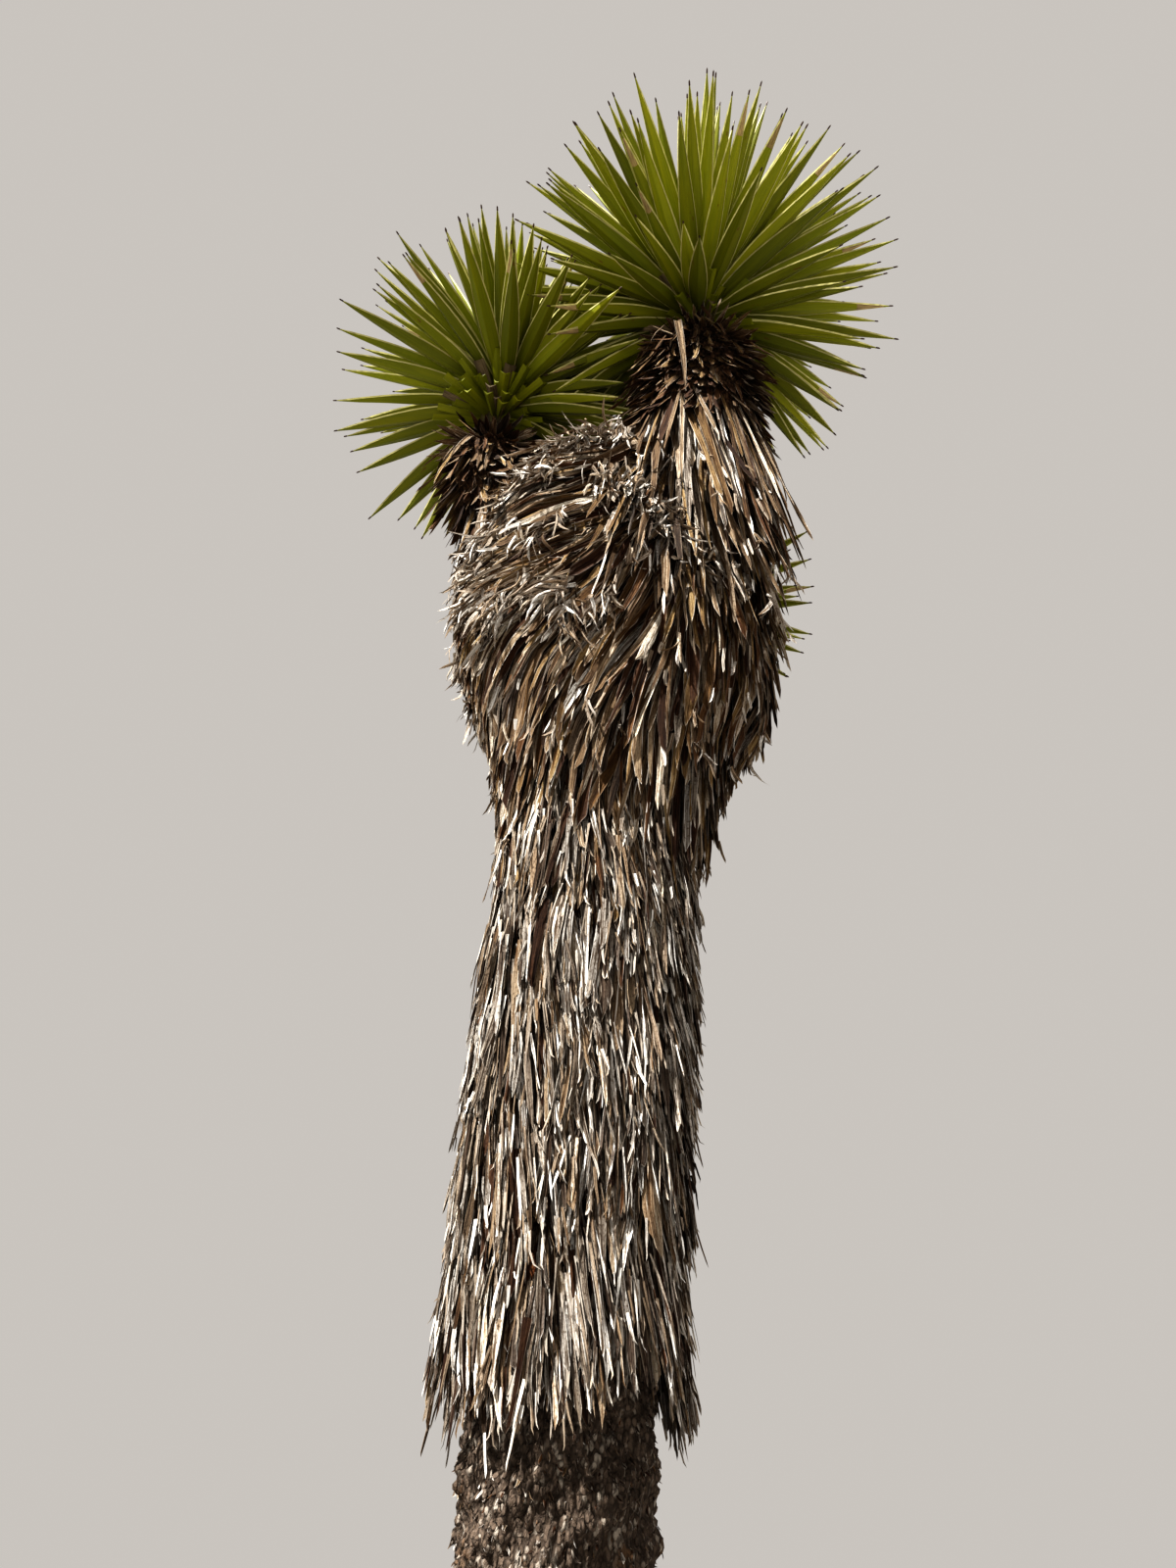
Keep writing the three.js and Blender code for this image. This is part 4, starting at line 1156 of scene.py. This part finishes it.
# Tangled knots of bleached shreds: across and up on the front, how wide, and how many
bunches = {
    "front": [
        (-0.06, 4.26, 0.06, 64), (0.03, 4.27, 0.06, 60), (0.12, 4.28, 0.055, 56), (0.19, 4.29, 0.045, 40),
        (-0.06, 4.17, 0.045, 60), (0.03, 4.13, 0.04, 40), (0.18, 4.1, 0.045, 48), (-0.14, 4.1, 0.045, 48),
        (-0.05, 3.86, 0.035, 30), (0.26, 4.0, 0.05, 60), (0.31, 3.92, 0.045, 56), (0.36, 3.86, 0.04, 32),
        (-0.1, 3.68, 0.04, 44), (-0.03, 3.69, 0.04, 44), (0.06, 3.65, 0.045, 76), (0.09, 3.55, 0.04, 56),
        (0.19, 3.58, 0.035, 20), (-0.28, 3.66, 0.035, 16), (0.46, 3.78, 0.045, 26), (-0.26, 3.5, 0.035, 14),
    ],
    "others": 22, "size": (0.02, 0.04), "each": (8, 20), "spread": 0.28, "raised": (0.01, 0.07),
    "longer": 1.4,
}


def addBunches():
    rng = np.random.default_rng(39)
    spots = [(float(frontAngle(x, z)), z, size, count) for x, z, size, count in bunches["front"]]
    for _ in range(bunches["others"]):
        turn = rng.uniform(-math.pi, math.pi)
        top = float(shoulderValue("shoulderTop", np.array(turn)))
        height = mix(shoulderRoom["foot"] + 0.2, top - 0.08, rng.random() ** 0.7)
        spots.append((turn, height, rng.uniform(*bunches["size"]), int(rng.integers(*bunches["each"]))))
    roots = []
    ways = []
    axes = []
    for turn, height, size, count in spots:
        point, along, out = surfaceRoundTrunk(shoulderRadius, np.full(count, height), np.full(count, turn))
        flow = combed(point, along, out)
        sideways = unit(np.cross(flow, out))
        aside = rng.standard_normal((count, 2)) * size * 0.6
        raised = rng.uniform(*bunches["raised"], count)
        root = point + flow * column(aside[:, 0]) + sideways * column(aside[:, 1])
        roots.append(root + out * column(raised))
        way = flow * 0.35 + down * 0.7 + out * 0.35 + rng.standard_normal(3) * 0.25
        ways.append(unit(way + rng.standard_normal((count, 3)) * bunches["spread"]))
        axes.append(np.tile(unit(rng.standard_normal(3)), (count, 1)))
    addCurls("bunches", sunk(np.concatenate(roots)), np.concatenate(ways), rng, shoulderNodes,
             bunches["longer"], np.concatenate(axes))


addShoulders()
addMats()
addBunches()

cuffs = {
    "right": {"from": 0.2, "to": 0.6, "radius": 0.212, "count": 600, "length": (0.34, 0.72), "frontTilt": 13},
    "left": {"from": 0.36, "to": 0.62, "radius": 0.15, "count": 260, "length": (0.18, 0.36), "frontTilt": 10},
    "rear": {"from": 0.45, "to": 0.64, "radius": 0.108, "count": 80, "length": (0.14, 0.26), "frontTilt": 10},
}
# With flips left at None, as many of them roll one way as the other
cuffLeaf = {
    **deadLeaf, "stations": 6, "width": (0.009, 0.029), "wander": 0.005, "inset": 0.012, "taper": (0.7, 0.95),
    "hook": 0.008, "twist": 0.25, "roll": (0.3, 1.4), "flips": None, "thickness": 0.0024, "ridges": 0.0014,
    "sideTilt": 4, "tiltSpread": 2, "strays": 0.02, "strayTilt": 9, "aside": 0.08, "shreds": 0.5,
}


# Long straps that hang from the foot of each neck over its shoulder, palest on the left, the side the sun
# lights: painted light
def addCuff(name):
    look = {**cuffLeaf, **cuffs[name]}
    rng = np.random.default_rng(50 + len(name))
    count = look["count"]
    share = rng.uniform(look["from"], look["to"], count)
    angle = rng.uniform(0, fullTurn, count)
    point, _, out = surfaceRoundArm(name, share, angle, np.full(count, look["radius"]))
    front = smoothStep(0.1, 0.8, -out[:, 1])
    tilt = mix(look["sideTilt"], look["frontTilt"], front) + rng.normal(0, look["tiltSpread"], count)
    tilt = np.radians(tilt + look["strayTilt"] * (rng.random(count) < look["strays"]))
    fall = unit(down - out * np.minimum(0, dot(down, out)))
    heading = leaned(fall, out, tilt, rng.normal(0, look["aside"], count))
    leaves = hangingLeaves(rng, point, heading, out, look)
    # Paler colours and more bleached curls on the left, where the sun falls: painted light
    pale = 1 - smoothStep(-0.4, 0.4, out[:, 0])
    weights = {"bleached": 0.04 + 0.22 * pale, "cream": 0.08 + 0.16 * pale, "grey": 0.06, "ash": 0.05,
               "tan": 0.38, "golden": 0.18, "russet": 0.12 - 0.09 * pale, "umber": 0.1 - 0.08 * pale}
    nodes = [f"shoulder_{name}"]
    addDeadLeaves(f"cuffStraps_{name}", leaves, rng, look, weights, nodes)
    addShreds(f"cuffShreds_{name}", leaves, rng, look["shreds"], nodes, 1.6, 1.5)
    addTornEnds(f"cuffCurls_{name}", leaves, rng, 0.04 + 0.26 * pale, nodes)


for armName in arms:
    addCuff(armName)

# Long straps at the right that hang free of the shoulder
freeStraps = {
    **deadLeaf, "count": 16, "angles": (-55, 12), "from": 0.54, "to": 0.66, "radius": 0.19, "tilt": (8, 15),
    "spread": 3, "length": (0.38, 0.62), "width": (0.012, 0.022), "stations": 6, "wander": 0.005,
    "taper": (0.5, 0.8), "hook": 0.02, "twist": 0.3, "roll": (0.3, 1.2), "thickness": 0.0024,
    "ridges": 0.0014, "weights": {"tan": 0.5, "golden": 0.3, "cream": 0.2},
}


def addFreeStraps():
    rng = np.random.default_rng(61)
    count = freeStraps["count"]
    angle = np.radians(rng.uniform(*freeStraps["angles"], count))
    share = rng.uniform(freeStraps["from"], freeStraps["to"], count)
    point, _, out = surfaceRoundArm("right", share, angle, np.full(count, freeStraps["radius"]))
    tilt = rng.uniform(*freeStraps["tilt"], count)
    heading = hung(out, tilt, rng.normal(0, freeStraps["spread"], count))
    leaves = hangingLeaves(rng, point, heading, out, freeStraps)
    addDeadLeaves("freeStraps", leaves, rng, freeStraps, freeStraps["weights"],
                  ["shoulder_right"])


addFreeStraps()

necks = {
    **deadLeaf, "rows": 18, "columns": 26, "columnsAt": 0.16, "length": (0.1, 0.18), "width": (0.017, 0.035),
    "inset": 0.012, "wander": 0.012, "twist": 0.22, "roll": (-1, 0), "thickness": 0.0034, "ridges": 0.0008,
    "lowLift": 24, "highLift": 42, "topLift": 48, "liftSpread": 5, "stray": 0.1, "hook": (0.02, 0.04),
}
neckBlades = {
    **deadLeaf, "count": {"right": 90, "left": 26, "rear": 14},
    "length": (0.12, 0.24), "width": (0.009, 0.018), "up": (0.45, 1.0), "facing": 1.05 * math.pi, "around": 1,
    "lift": (14, 34), "spread": 7, "taper": (0.5, 0.9), "hook": 0.05, "twist": 0.4, "roll": (-1.2, 1.2),
    "ridges": 0.001, "weights": {"russet": 0.26, "tan": 0.38, "golden": 0.35, "cream": 0.01},
}
loneLeaf = {**deadLeaf, "top": (0.418, -0.305, 4.8), "length": 0.34, "width": 0.027, "sway": 0.012,
            "across": rolledAcross, "roll": 0.8, "ridges": 0.0008, "tone": 0.75}


# The share of the arm's length at a share of its neck's height, and the neck's radius there
def neckAt(name, up, drawnIn):
    neck = arms[name]["neck"]
    radius = mix(neck["footRadius"], neck["topRadius"], up) * (1 - drawnIn * smoothStep(0.72, 1, up))
    return mix(neck["from"], neck["to"], up), radius


# Leaf bases that stay on the neck in close ragged rows, like scales; higher up, in the rosette's shade, more
# are tan and golden and fewer russet: painted light
def addNeckScales(name):
    rng = np.random.default_rng(90 + len(name))
    columns = int(necks["columns"] * (arms[name]["neck"]["footRadius"] / necks["columnsAt"]))
    row, place = (part.ravel() for part in np.indices((necks["rows"], columns)))
    count = len(row)
    up = (row + 0.6 * rng.random(count)) / necks["rows"]
    share, radius = neckAt(name, up, 0.35)
    angle = (place + row * 0.618 + 0.5 * (rng.random(count) - 0.5)) / columns * fullTurn
    point, along, out = surfaceRoundArm(name, share, angle, radius - 0.01)
    tilt = mix(necks["lowLift"], necks["highLift"], up) + necks["topLift"] * smoothStep(0.7, 1.0, up)
    tilt = np.radians(tilt + rng.normal(0, necks["liftSpread"], count))
    heading = leaned(along, out, tilt, rng.normal(0, necks["stray"], count))
    length = rng.uniform(*necks["length"], count) * mix(1.1, 0.8, up)
    shares = deadShares(necks["stations"])
    outline = (1 - 0.8 * smoothStep(0.5, 1.0, shares)) * mix(0.8, 1.0, smoothStep(0, 0.4, shares))
    root = point - out * necks["inset"]
    hook = rng.normal(*necks["hook"], count)
    leaves = stiffLeaves(rng, root, heading, out, length, hook, necks, outline)
    pale = smoothStep(0.1, 0.7, out[:, 0]) * (1 - 0.7 * up)
    # More tan and golden and less russet higher up, in the rosette's shade: painted light
    weights = {"umber": 0.08, "russet": 0.5 - 0.18 * up, "ash": 0.06, "tan": 0.2 + 0.09 * up,
               "golden": 0.17 + 0.09 * up, "cream": 0.01 + 0.3 * pale}
    addDeadLeaves(f"neckScales_{name}", leaves, rng, necks, weights, [f"neck_{name}"])


# Long narrow dead leaves that hang down round the neck from under the rosette, most of them on its left
def addNeckBlades(name):
    rng = np.random.default_rng(95 + len(name))
    count = neckBlades["count"][name]
    up = rng.uniform(*neckBlades["up"], count)
    angle = rng.normal(neckBlades["facing"], neckBlades["around"], count)
    share, radius = neckAt(name, up, 0.0)
    point, _, out = surfaceRoundArm(name, share, angle, radius)
    lift = rng.uniform(*neckBlades["lift"], count)
    heading = hung(out, lift, rng.normal(0, neckBlades["spread"], count))
    leaves = hangingLeaves(rng, point, heading, out, neckBlades)
    addDeadLeaves(f"neckBlades_{name}", leaves, rng, neckBlades, neckBlades["weights"],
                  [f"neck_{name}"])


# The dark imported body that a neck's leaf bases stand out of
def addNeckCore(name):
    def place(heights, angles):
        share, radius = neckAt(name, heights, 0.45)
        spot, _, out = surfaceRoundArm(name, share, angles, radius - 0.018)
        return spot + out * column(0.012 * patches(spot, 0.03, 6))

    addWrapped(f"neckCore_{name}", 48, 30, place, barkFinishes["neckLeafBases"],
               [f"neck_{name}"])


# One dry leaf that hangs straight down in front of the right neck
def addLoneLeaf():
    shares = np.linspace(0, 1, 9)
    line = np.array(loneLeaf["top"]) + down * loneLeaf["length"] * shares[:, None]
    line[:, 0] += loneLeaf["sway"] * np.sin(2.2 * shares)
    halfWidth = loneLeaf["width"] / 2 * (1 - 0.85 * shares**1.8)
    leaf = Leaves(line[None], np.array([0, -1.0, 0]), halfWidth[None], np.array([loneLeaf["tone"]]))
    section = rolledSection(leaf, np.random.default_rng(63), np.array([loneLeaf["roll"]]), loneLeaf)
    addSkins("loneLeaf", leaf, section, rolledAcross, deadFinishes["tan"], ["neck_right"])


for armName in arms:
    addNeckScales(armName)
    addNeckBlades(armName)
    addNeckCore(armName)
addLoneLeaf()
print("necks made")

greenLeaf = {
    "width": 0.06, "stations": 13, "channel": 0.48, "channelPower": 1.25, "middle": 0.0052, "edge": 0.0016,
    "keel": 0.35, "rim": 0.0024, "rimmed": (0.04, 0.985), "point": 0.975, "pointHalf": 0.0018,
    "dried": (0.8, 0.97), "dryShare": 0.1, "droop": 0.014, "jitter": 4.0, "oldFrom": 0.66,
    "shorter": (0.93, 0.93 * 0.86, 0.93 * 0.74), "lengths": (0.91, 1.05), "widths": (0.86, 1.1),
    "bow": 0.012, "turned": 0.1, "twist": 0.16, "youngest": 7, "frontGone": 0.62, "sideGone": 0.66,
}
# The planes between the right rosette and the others, with normals to its side, and how far its leaves may
# pass them
divides = {
    "left": {"point": (0.15, 0.03, 5.04), "normal": (0.62, -0.55, 0.55), "pass": 0.26},
    "rear": {"point": (0.47, 0.25, 4.7), "normal": (0.05, -0.45, 0.9), "pass": 0.04},
}


# A rosette's place and axis, with two ways across it
def crownFrame(name):
    crown = arms[name]["crown"]
    lean = math.radians(crown["tiltTowards"])
    sideways = np.array([math.cos(lean), math.sin(lean), 0])
    axis = swing(-down, sideways, math.radians(crown["tilt"]))
    across = unit(sideways - axis * dot(axis, sideways))
    return armLines[name].at(1.0), axis, across, np.cross(axis, across)


# Each leaf of a rosette is turned on by the golden angle from the one before: the leaves' roots, their ways
# out from the axis, their ways along, and the ways their faces look
def crownWays(name, polar, jitter, rise, outset):
    crown = arms[name]["crown"]
    place, axis, across, other = crownFrame(name)
    out = swing(across, other, np.arange(len(polar)) * goldenAngle + jitter)
    root = place + axis * column(crown["height"] * rise) + out * crown["radius"] * outset
    return root, out, swing(axis, out, polar), swing(-out, axis, polar)


# Whether places lie in the dead leaves' room round the fork, or in a neck
def insideDeadLeaves(places, ownName):
    offset, angle = roundTrunk(places)
    height = np.clip(places[..., 2], shoulderRoom["foot"], shoulderRoom["highest"])
    inside = np.hypot(offset[..., 0], offset[..., 1]) < shoulderRadius(height, angle) + 0.03
    inside &= places[..., 2] < shoulderValue("shoulderTop", angle)
    for name, line in armLines.items():
        if name != ownName:
            samples = line.at(np.linspace(0.3, 1.1, 12))
            near = np.linalg.norm(places[..., None, :] - samples, axis=-1).min(-1)
            inside |= near < arms[name]["neck"]["topRadius"] + 0.03
    return inside


# Whether leaves run into a neighbour or into dead leaves
def blocked(name, root, heading, length):
    shares = column(np.linspace(0.25, 1, 12))
    tips = root[:, None] + heading[:, None] * column(length)[:, None] * shares
    bad = insideDeadLeaves(tips, name).any(1)
    for under, divide in divides.items():
        if name in ("right", under):
            sign, slack = (1, divide["pass"]) if name == "right" else (-1, divide["pass"] * 0.8)
            normal = unit(np.array(divide["normal"])) * sign
            bad |= ((tips - np.array(divide["point"])) @ normal < -slack).any(1)
    return bad


# The leaves of a rosette: the youngest upright at the top, the oldest lowest and pointing down. A leaf that
# would run into a neighbour is shorter, or left out.
def crownLeaves(name, rng):
    crown = arms[name]["crown"]
    count = crown["leaves"]
    age = (np.arange(count) + 0.5) / count
    upright, lowest = (math.cos(math.radians(turn)) for turn in (greenLeaf["youngest"], crown["widest"]))
    polar = np.arccos(mix(upright, lowest, age)) + np.radians(rng.normal(0, greenLeaf["jitter"], count))
    jitter = rng.normal(0, 0.05, count)
    root, out, heading, faceUp = crownWays(name, polar, jitter, mix(0.94, 0.34, age), 0.3)
    full = mix(crown["youngReach"], 1.0, smoothStep(0, 0.3, age)) * mix(1, 0.86, smoothStep(0.4, 1, age))
    front = smoothStep(0.3, 0.7, -heading[:, 1]) * smoothStep(0.0, 0.4, heading[:, 2])
    full = crown["length"] * full * mix(1, crown["frontReach"], front)
    length = full * rng.uniform(*greenLeaf["lengths"], count)
    for share in greenLeaf["shorter"]:
        length = np.where(blocked(name, root, heading, length), np.minimum(length, full * share), length)
    # The oldest leaves have gone from the front, and some of them at one side
    kept = ~blocked(name, root, heading, length)
    kept &= (age < greenLeaf["frontGone"]) | (out[:, 1] > -0.45) | (rng.random(count) < crown["frontStay"])
    side, loss = crown["thinned"]
    sideways = np.cos(np.arctan2(heading[:, 1], heading[:, 0]) - math.radians(side))
    stays = np.random.default_rng(61).random(count) > loss
    kept &= (age < greenLeaf["sideGone"]) | (sideways < 0.5) | stays
    return [values[kept] for values in (root, heading, faceUp, length, age)]


# A channelled section: two flat wings that rise to the edges over a keel
def channelSection(leaves, grown=0.0):
    half = leaves.halfWidth[..., None]
    middle = 1 - np.abs(channelAcross)
    rise = greenLeaf["channel"] * half * np.abs(channelAcross) ** greenLeaf["channelPower"]
    thick = mix(greenLeaf["edge"], greenLeaf["middle"], middle) * np.minimum(half / 0.012, 1)
    keel = greenLeaf["keel"] * half * 0.25 * middle
    y = np.where(np.arange(8) < 5, rise + grown, rise - thick - keel - grown)
    return np.stack([half * channelAcross * (1 + grown / np.maximum(half, 0.001)), y], -1)


# A thin strip on one edge of a channelled leaf: three corners round the edge
def rimSection(leaves, hand):
    half = leaves.halfWidth
    inner = np.maximum(half - greenLeaf["rim"], half * 0.3)
    outer = half + 0.0007
    top = greenLeaf["channel"] * half
    low = top * (inner / np.maximum(half, 1e-5)) ** greenLeaf["channelPower"]
    over = low + 0.0006
    under = low - greenLeaf["edge"] - 0.0014
    corners = [(inner, over), (outer, top), (inner, under)]
    if hand < 0:
        corners = [(-outer, top), (-inner, over), (-inner, under)]
    return np.stack([np.stack(corner, -1) for corner in corners], 2)


def addGreen(name, leaves, section, finish, armName, across=channelAcross, blunt=False):
    addSkins(name, leaves, section, across, finish, [f"rosette_{armName}"], blunt)


def addRosette(name):
    rng = np.random.default_rng(130 + len(name))
    crown = arms[name]["crown"]
    root, heading, faceUp, length, age = crownLeaves(name, rng)
    count = len(root)
    shares = np.linspace(0, 1, greenLeaf["stations"])
    t = shares[:, None]
    droop = column(greenLeaf["droop"] * (0.4 + 1.6 * age) * rng.uniform(0.3, 1.7, count))[:, None]
    bow = column(rng.normal(0, greenLeaf["bow"], count))[:, None]
    line = root[:, None] + heading[:, None] * column(length)[:, None] * t + down * droop * t**2
    line = line + np.cross(heading, faceUp)[:, None] * bow * t**2
    width = greenLeaf["width"] * rng.uniform(*greenLeaf["widths"], count)
    width = width * mix(0.82, 1, smoothStep(0, 0.3, age))
    outline = mix(0.5, 1.0, smoothStep(0, 0.4, shares)) * (1 - np.maximum(0, (shares - 0.4) / 0.6) ** 1.6)
    twist = column(rng.normal(0, greenLeaf["turned"], count))
    twist = twist + column(rng.normal(0, greenLeaf["twist"], count)) * shares
    leaves = Leaves(line, faceUp[:, None], column(width / 2) * outline, rng.random(count), twist)

    # Each rosette deals its greens in its own shares: the right one's many pale leaves and the left and rear
    # ones' many deep leaves are painted light and shade
    shades = crown["shades"]
    dealt = rng.choice(list(shades), count, p=list(shades.values()))
    # The oldest, lowest leaves are dealt the deep green: painted shade under the rosette
    dealt[(age > greenLeaf["oldFrom"]) & (leaves.tone < crown["oldPaintedShade"])] = "deep"
    for shade in shades:
        part = leaves.taken(dealt == shade)
        addGreen(f"greenLeaves_{name}_{shade}", part, channelSection(part), greenFinishes[shade], name)
    # Pale rims on both edges of every leaf: the margins' own colour, partly painted highlight
    rims = leaves.stretch(*greenLeaf["rimmed"], greenLeaf["stations"])
    for hand, side in ((1, "a"), (-1, "b")):
        section = rimSection(rims, hand)
        addGreen(f"leafRims_{name}_{side}", rims, section, tissueFinishes["leafRimAndHighlight"], name, rimAcross)
    spines = leaves.stretch(greenLeaf["point"], 1.0, 4)
    spines.halfWidth = np.maximum(spines.halfWidth, greenLeaf["pointHalf"])
    addGreen(f"leafPoints_{name}", spines, channelSection(spines, 0.0009), tissueFinishes["leafPoint"], name)
    dry = leaves.taken(rng.random(count) < greenLeaf["dryShare"] * (0.4 + 1.4 * age))
    ends = dry.stretch(*greenLeaf["dried"], 5)
    addGreen(f"dryEnds_{name}", ends, channelSection(ends, 0.0008), tissueFinishes["dryLeafEnd"], name)
    print("rosette", name, count, "leaves")


stubs = {
    "count": {"right": 80, "left": 130, "rear": 40}, "length": (0.06, 0.19), "width": (0.026, 0.042),
    "highest": 48, "lowest": 118, "jitter": 4, "stations": 5, "living": 0.82,
}


# Feet of leaves that have been cut or broken off short, round the bottom of a rosette
def addStubs(name):
    rng = np.random.default_rng(170 + len(name))
    count = stubs["count"][name]
    age = (np.arange(count) + 0.5) / count
    polar = np.radians(mix(stubs["highest"], stubs["lowest"], age) + rng.normal(0, stubs["jitter"], count))
    jitter = rng.normal(0, 0.1, count)
    root, _, heading, faceUp = crownWays(name, polar, jitter, mix(0.5, 0.18, age), 0.6)
    shares = np.linspace(0, 1, stubs["stations"])
    length = column(rng.uniform(*stubs["length"], count))[:, None]
    line = root[:, None] + heading[:, None] * length * shares[:, None]
    halfWidth = column(rng.uniform(*stubs["width"], count) / 2) * mix(0.8, 1.0, shares)
    tone = rng.random(count)
    leaves = Leaves(line, faceUp[:, None], halfWidth, tone, column(rng.normal(0, 0.15, count)))
    living = rng.random(count) < stubs["living"]
    finishes = {"green": greenFinishes["olive"], "dry": tissueFinishes["leafBaseTip"]}
    for kind, chosen in (("green", living), ("dry", ~living)):
        part = leaves.taken(chosen)
        addGreen(f"leafStubs_{name}_{kind}", part, channelSection(part), finishes[kind], name, blunt=True)


buds = {"ribs": 9, "ribHeight": 0.06, "middle": 0.5, "half": 0.52, "girth": 0.92}


# A number to sort facets by: by height, and then round
def facetOrder(facet):
    middle = facet.calc_center_median()
    return 100 * middle.z + math.atan2(middle.y, middle.x)


# The bud in the middle of a rosette, from which its leaves spread
def addBud(name):
    crown = arms[name]["crown"]
    place, axis, across, other = crownFrame(name)
    bud = bmesh.new()
    bmesh.ops.create_uvsphere(bud, u_segments=28, v_segments=18, radius=1)
    bud.faces.sort(key=facetOrder)  # They come in another order each run
    for corner in bud.verts:
        ribs = 1 + buds["ribHeight"] * math.cos(buds["ribs"] * math.atan2(corner.co.y, corner.co.x))
        rise = crown["height"] * (buds["middle"] + buds["half"] * corner.co.z)
        aside = (across * corner.co.x + other * corner.co.y) * crown["radius"] * buds["girth"] * ribs
        corner.co = place + axis * rise + aside
    addShell(f"bud_{name}", bud, budTissue, [f"rosette_{name}"])


for armName in arms:
    addRosette(armName)
    addStubs(armName)
    addBud(armName)

studio = {
    "lens": 27, "cameraPlace": (0.125, -2.8, 1.5), "cameraUp": 31.4, "floorSize": 60,
    "sunStrength": 9.5, "sunFrom": (-0.6, -0.64, 1.1), "sunSoftness": 2, "sunColour": (1.0, 0.99, 0.965),
    "air": (1.0, 0.955, 0.905), "airStrength": 0.45,
}


def addToScene(name, data):
    made = bpy.data.objects.new(name, data)
    bpy.context.scene.collection.objects.link(made)
    return made


# The pale floor, the soft light and the camera at the plant's foot
def buildStudio():
    scene = bpy.context.scene
    ground = bmesh.new()
    bmesh.ops.create_grid(ground, x_segments=8, y_segments=8, size=studio["floorSize"] / 2)
    mesh = bpy.data.meshes.new("floor")
    ground.to_mesh(mesh)
    ground.free()
    mesh.materials.append(floorFinish())
    addToScene("floor", mesh)
    light = bpy.data.lights.new("sun", "SUN")
    light.energy = studio["sunStrength"]
    light.angle = math.radians(studio["sunSoftness"])
    light.color = studio["sunColour"]
    sun = addToScene("sun", light)
    sun.rotation_euler = Vector(studio["sunFrom"]).to_track_quat("Z", "Y").to_euler()
    scene.world = bpy.data.worlds.new("studioAir")
    scene.world.use_nodes = True
    air = scene.world.node_tree.nodes["Background"]
    air.inputs["Color"].default_value = (*studio["air"], 1)
    air.inputs["Strength"].default_value = studio["airStrength"]
    lens = bpy.data.cameras.new("camera")
    lens.lens = studio["lens"]
    lens.sensor_width = 36
    lens.clip_end = 200
    camera = addToScene("camera", lens)
    camera.location = studio["cameraPlace"]
    camera.rotation_euler = (math.radians(90 + studio["cameraUp"]), 0, 0)
    scene.camera = camera
    scene.view_settings.view_transform = "Standard"
    scene.view_settings.look = "High Contrast"


buildStudio()

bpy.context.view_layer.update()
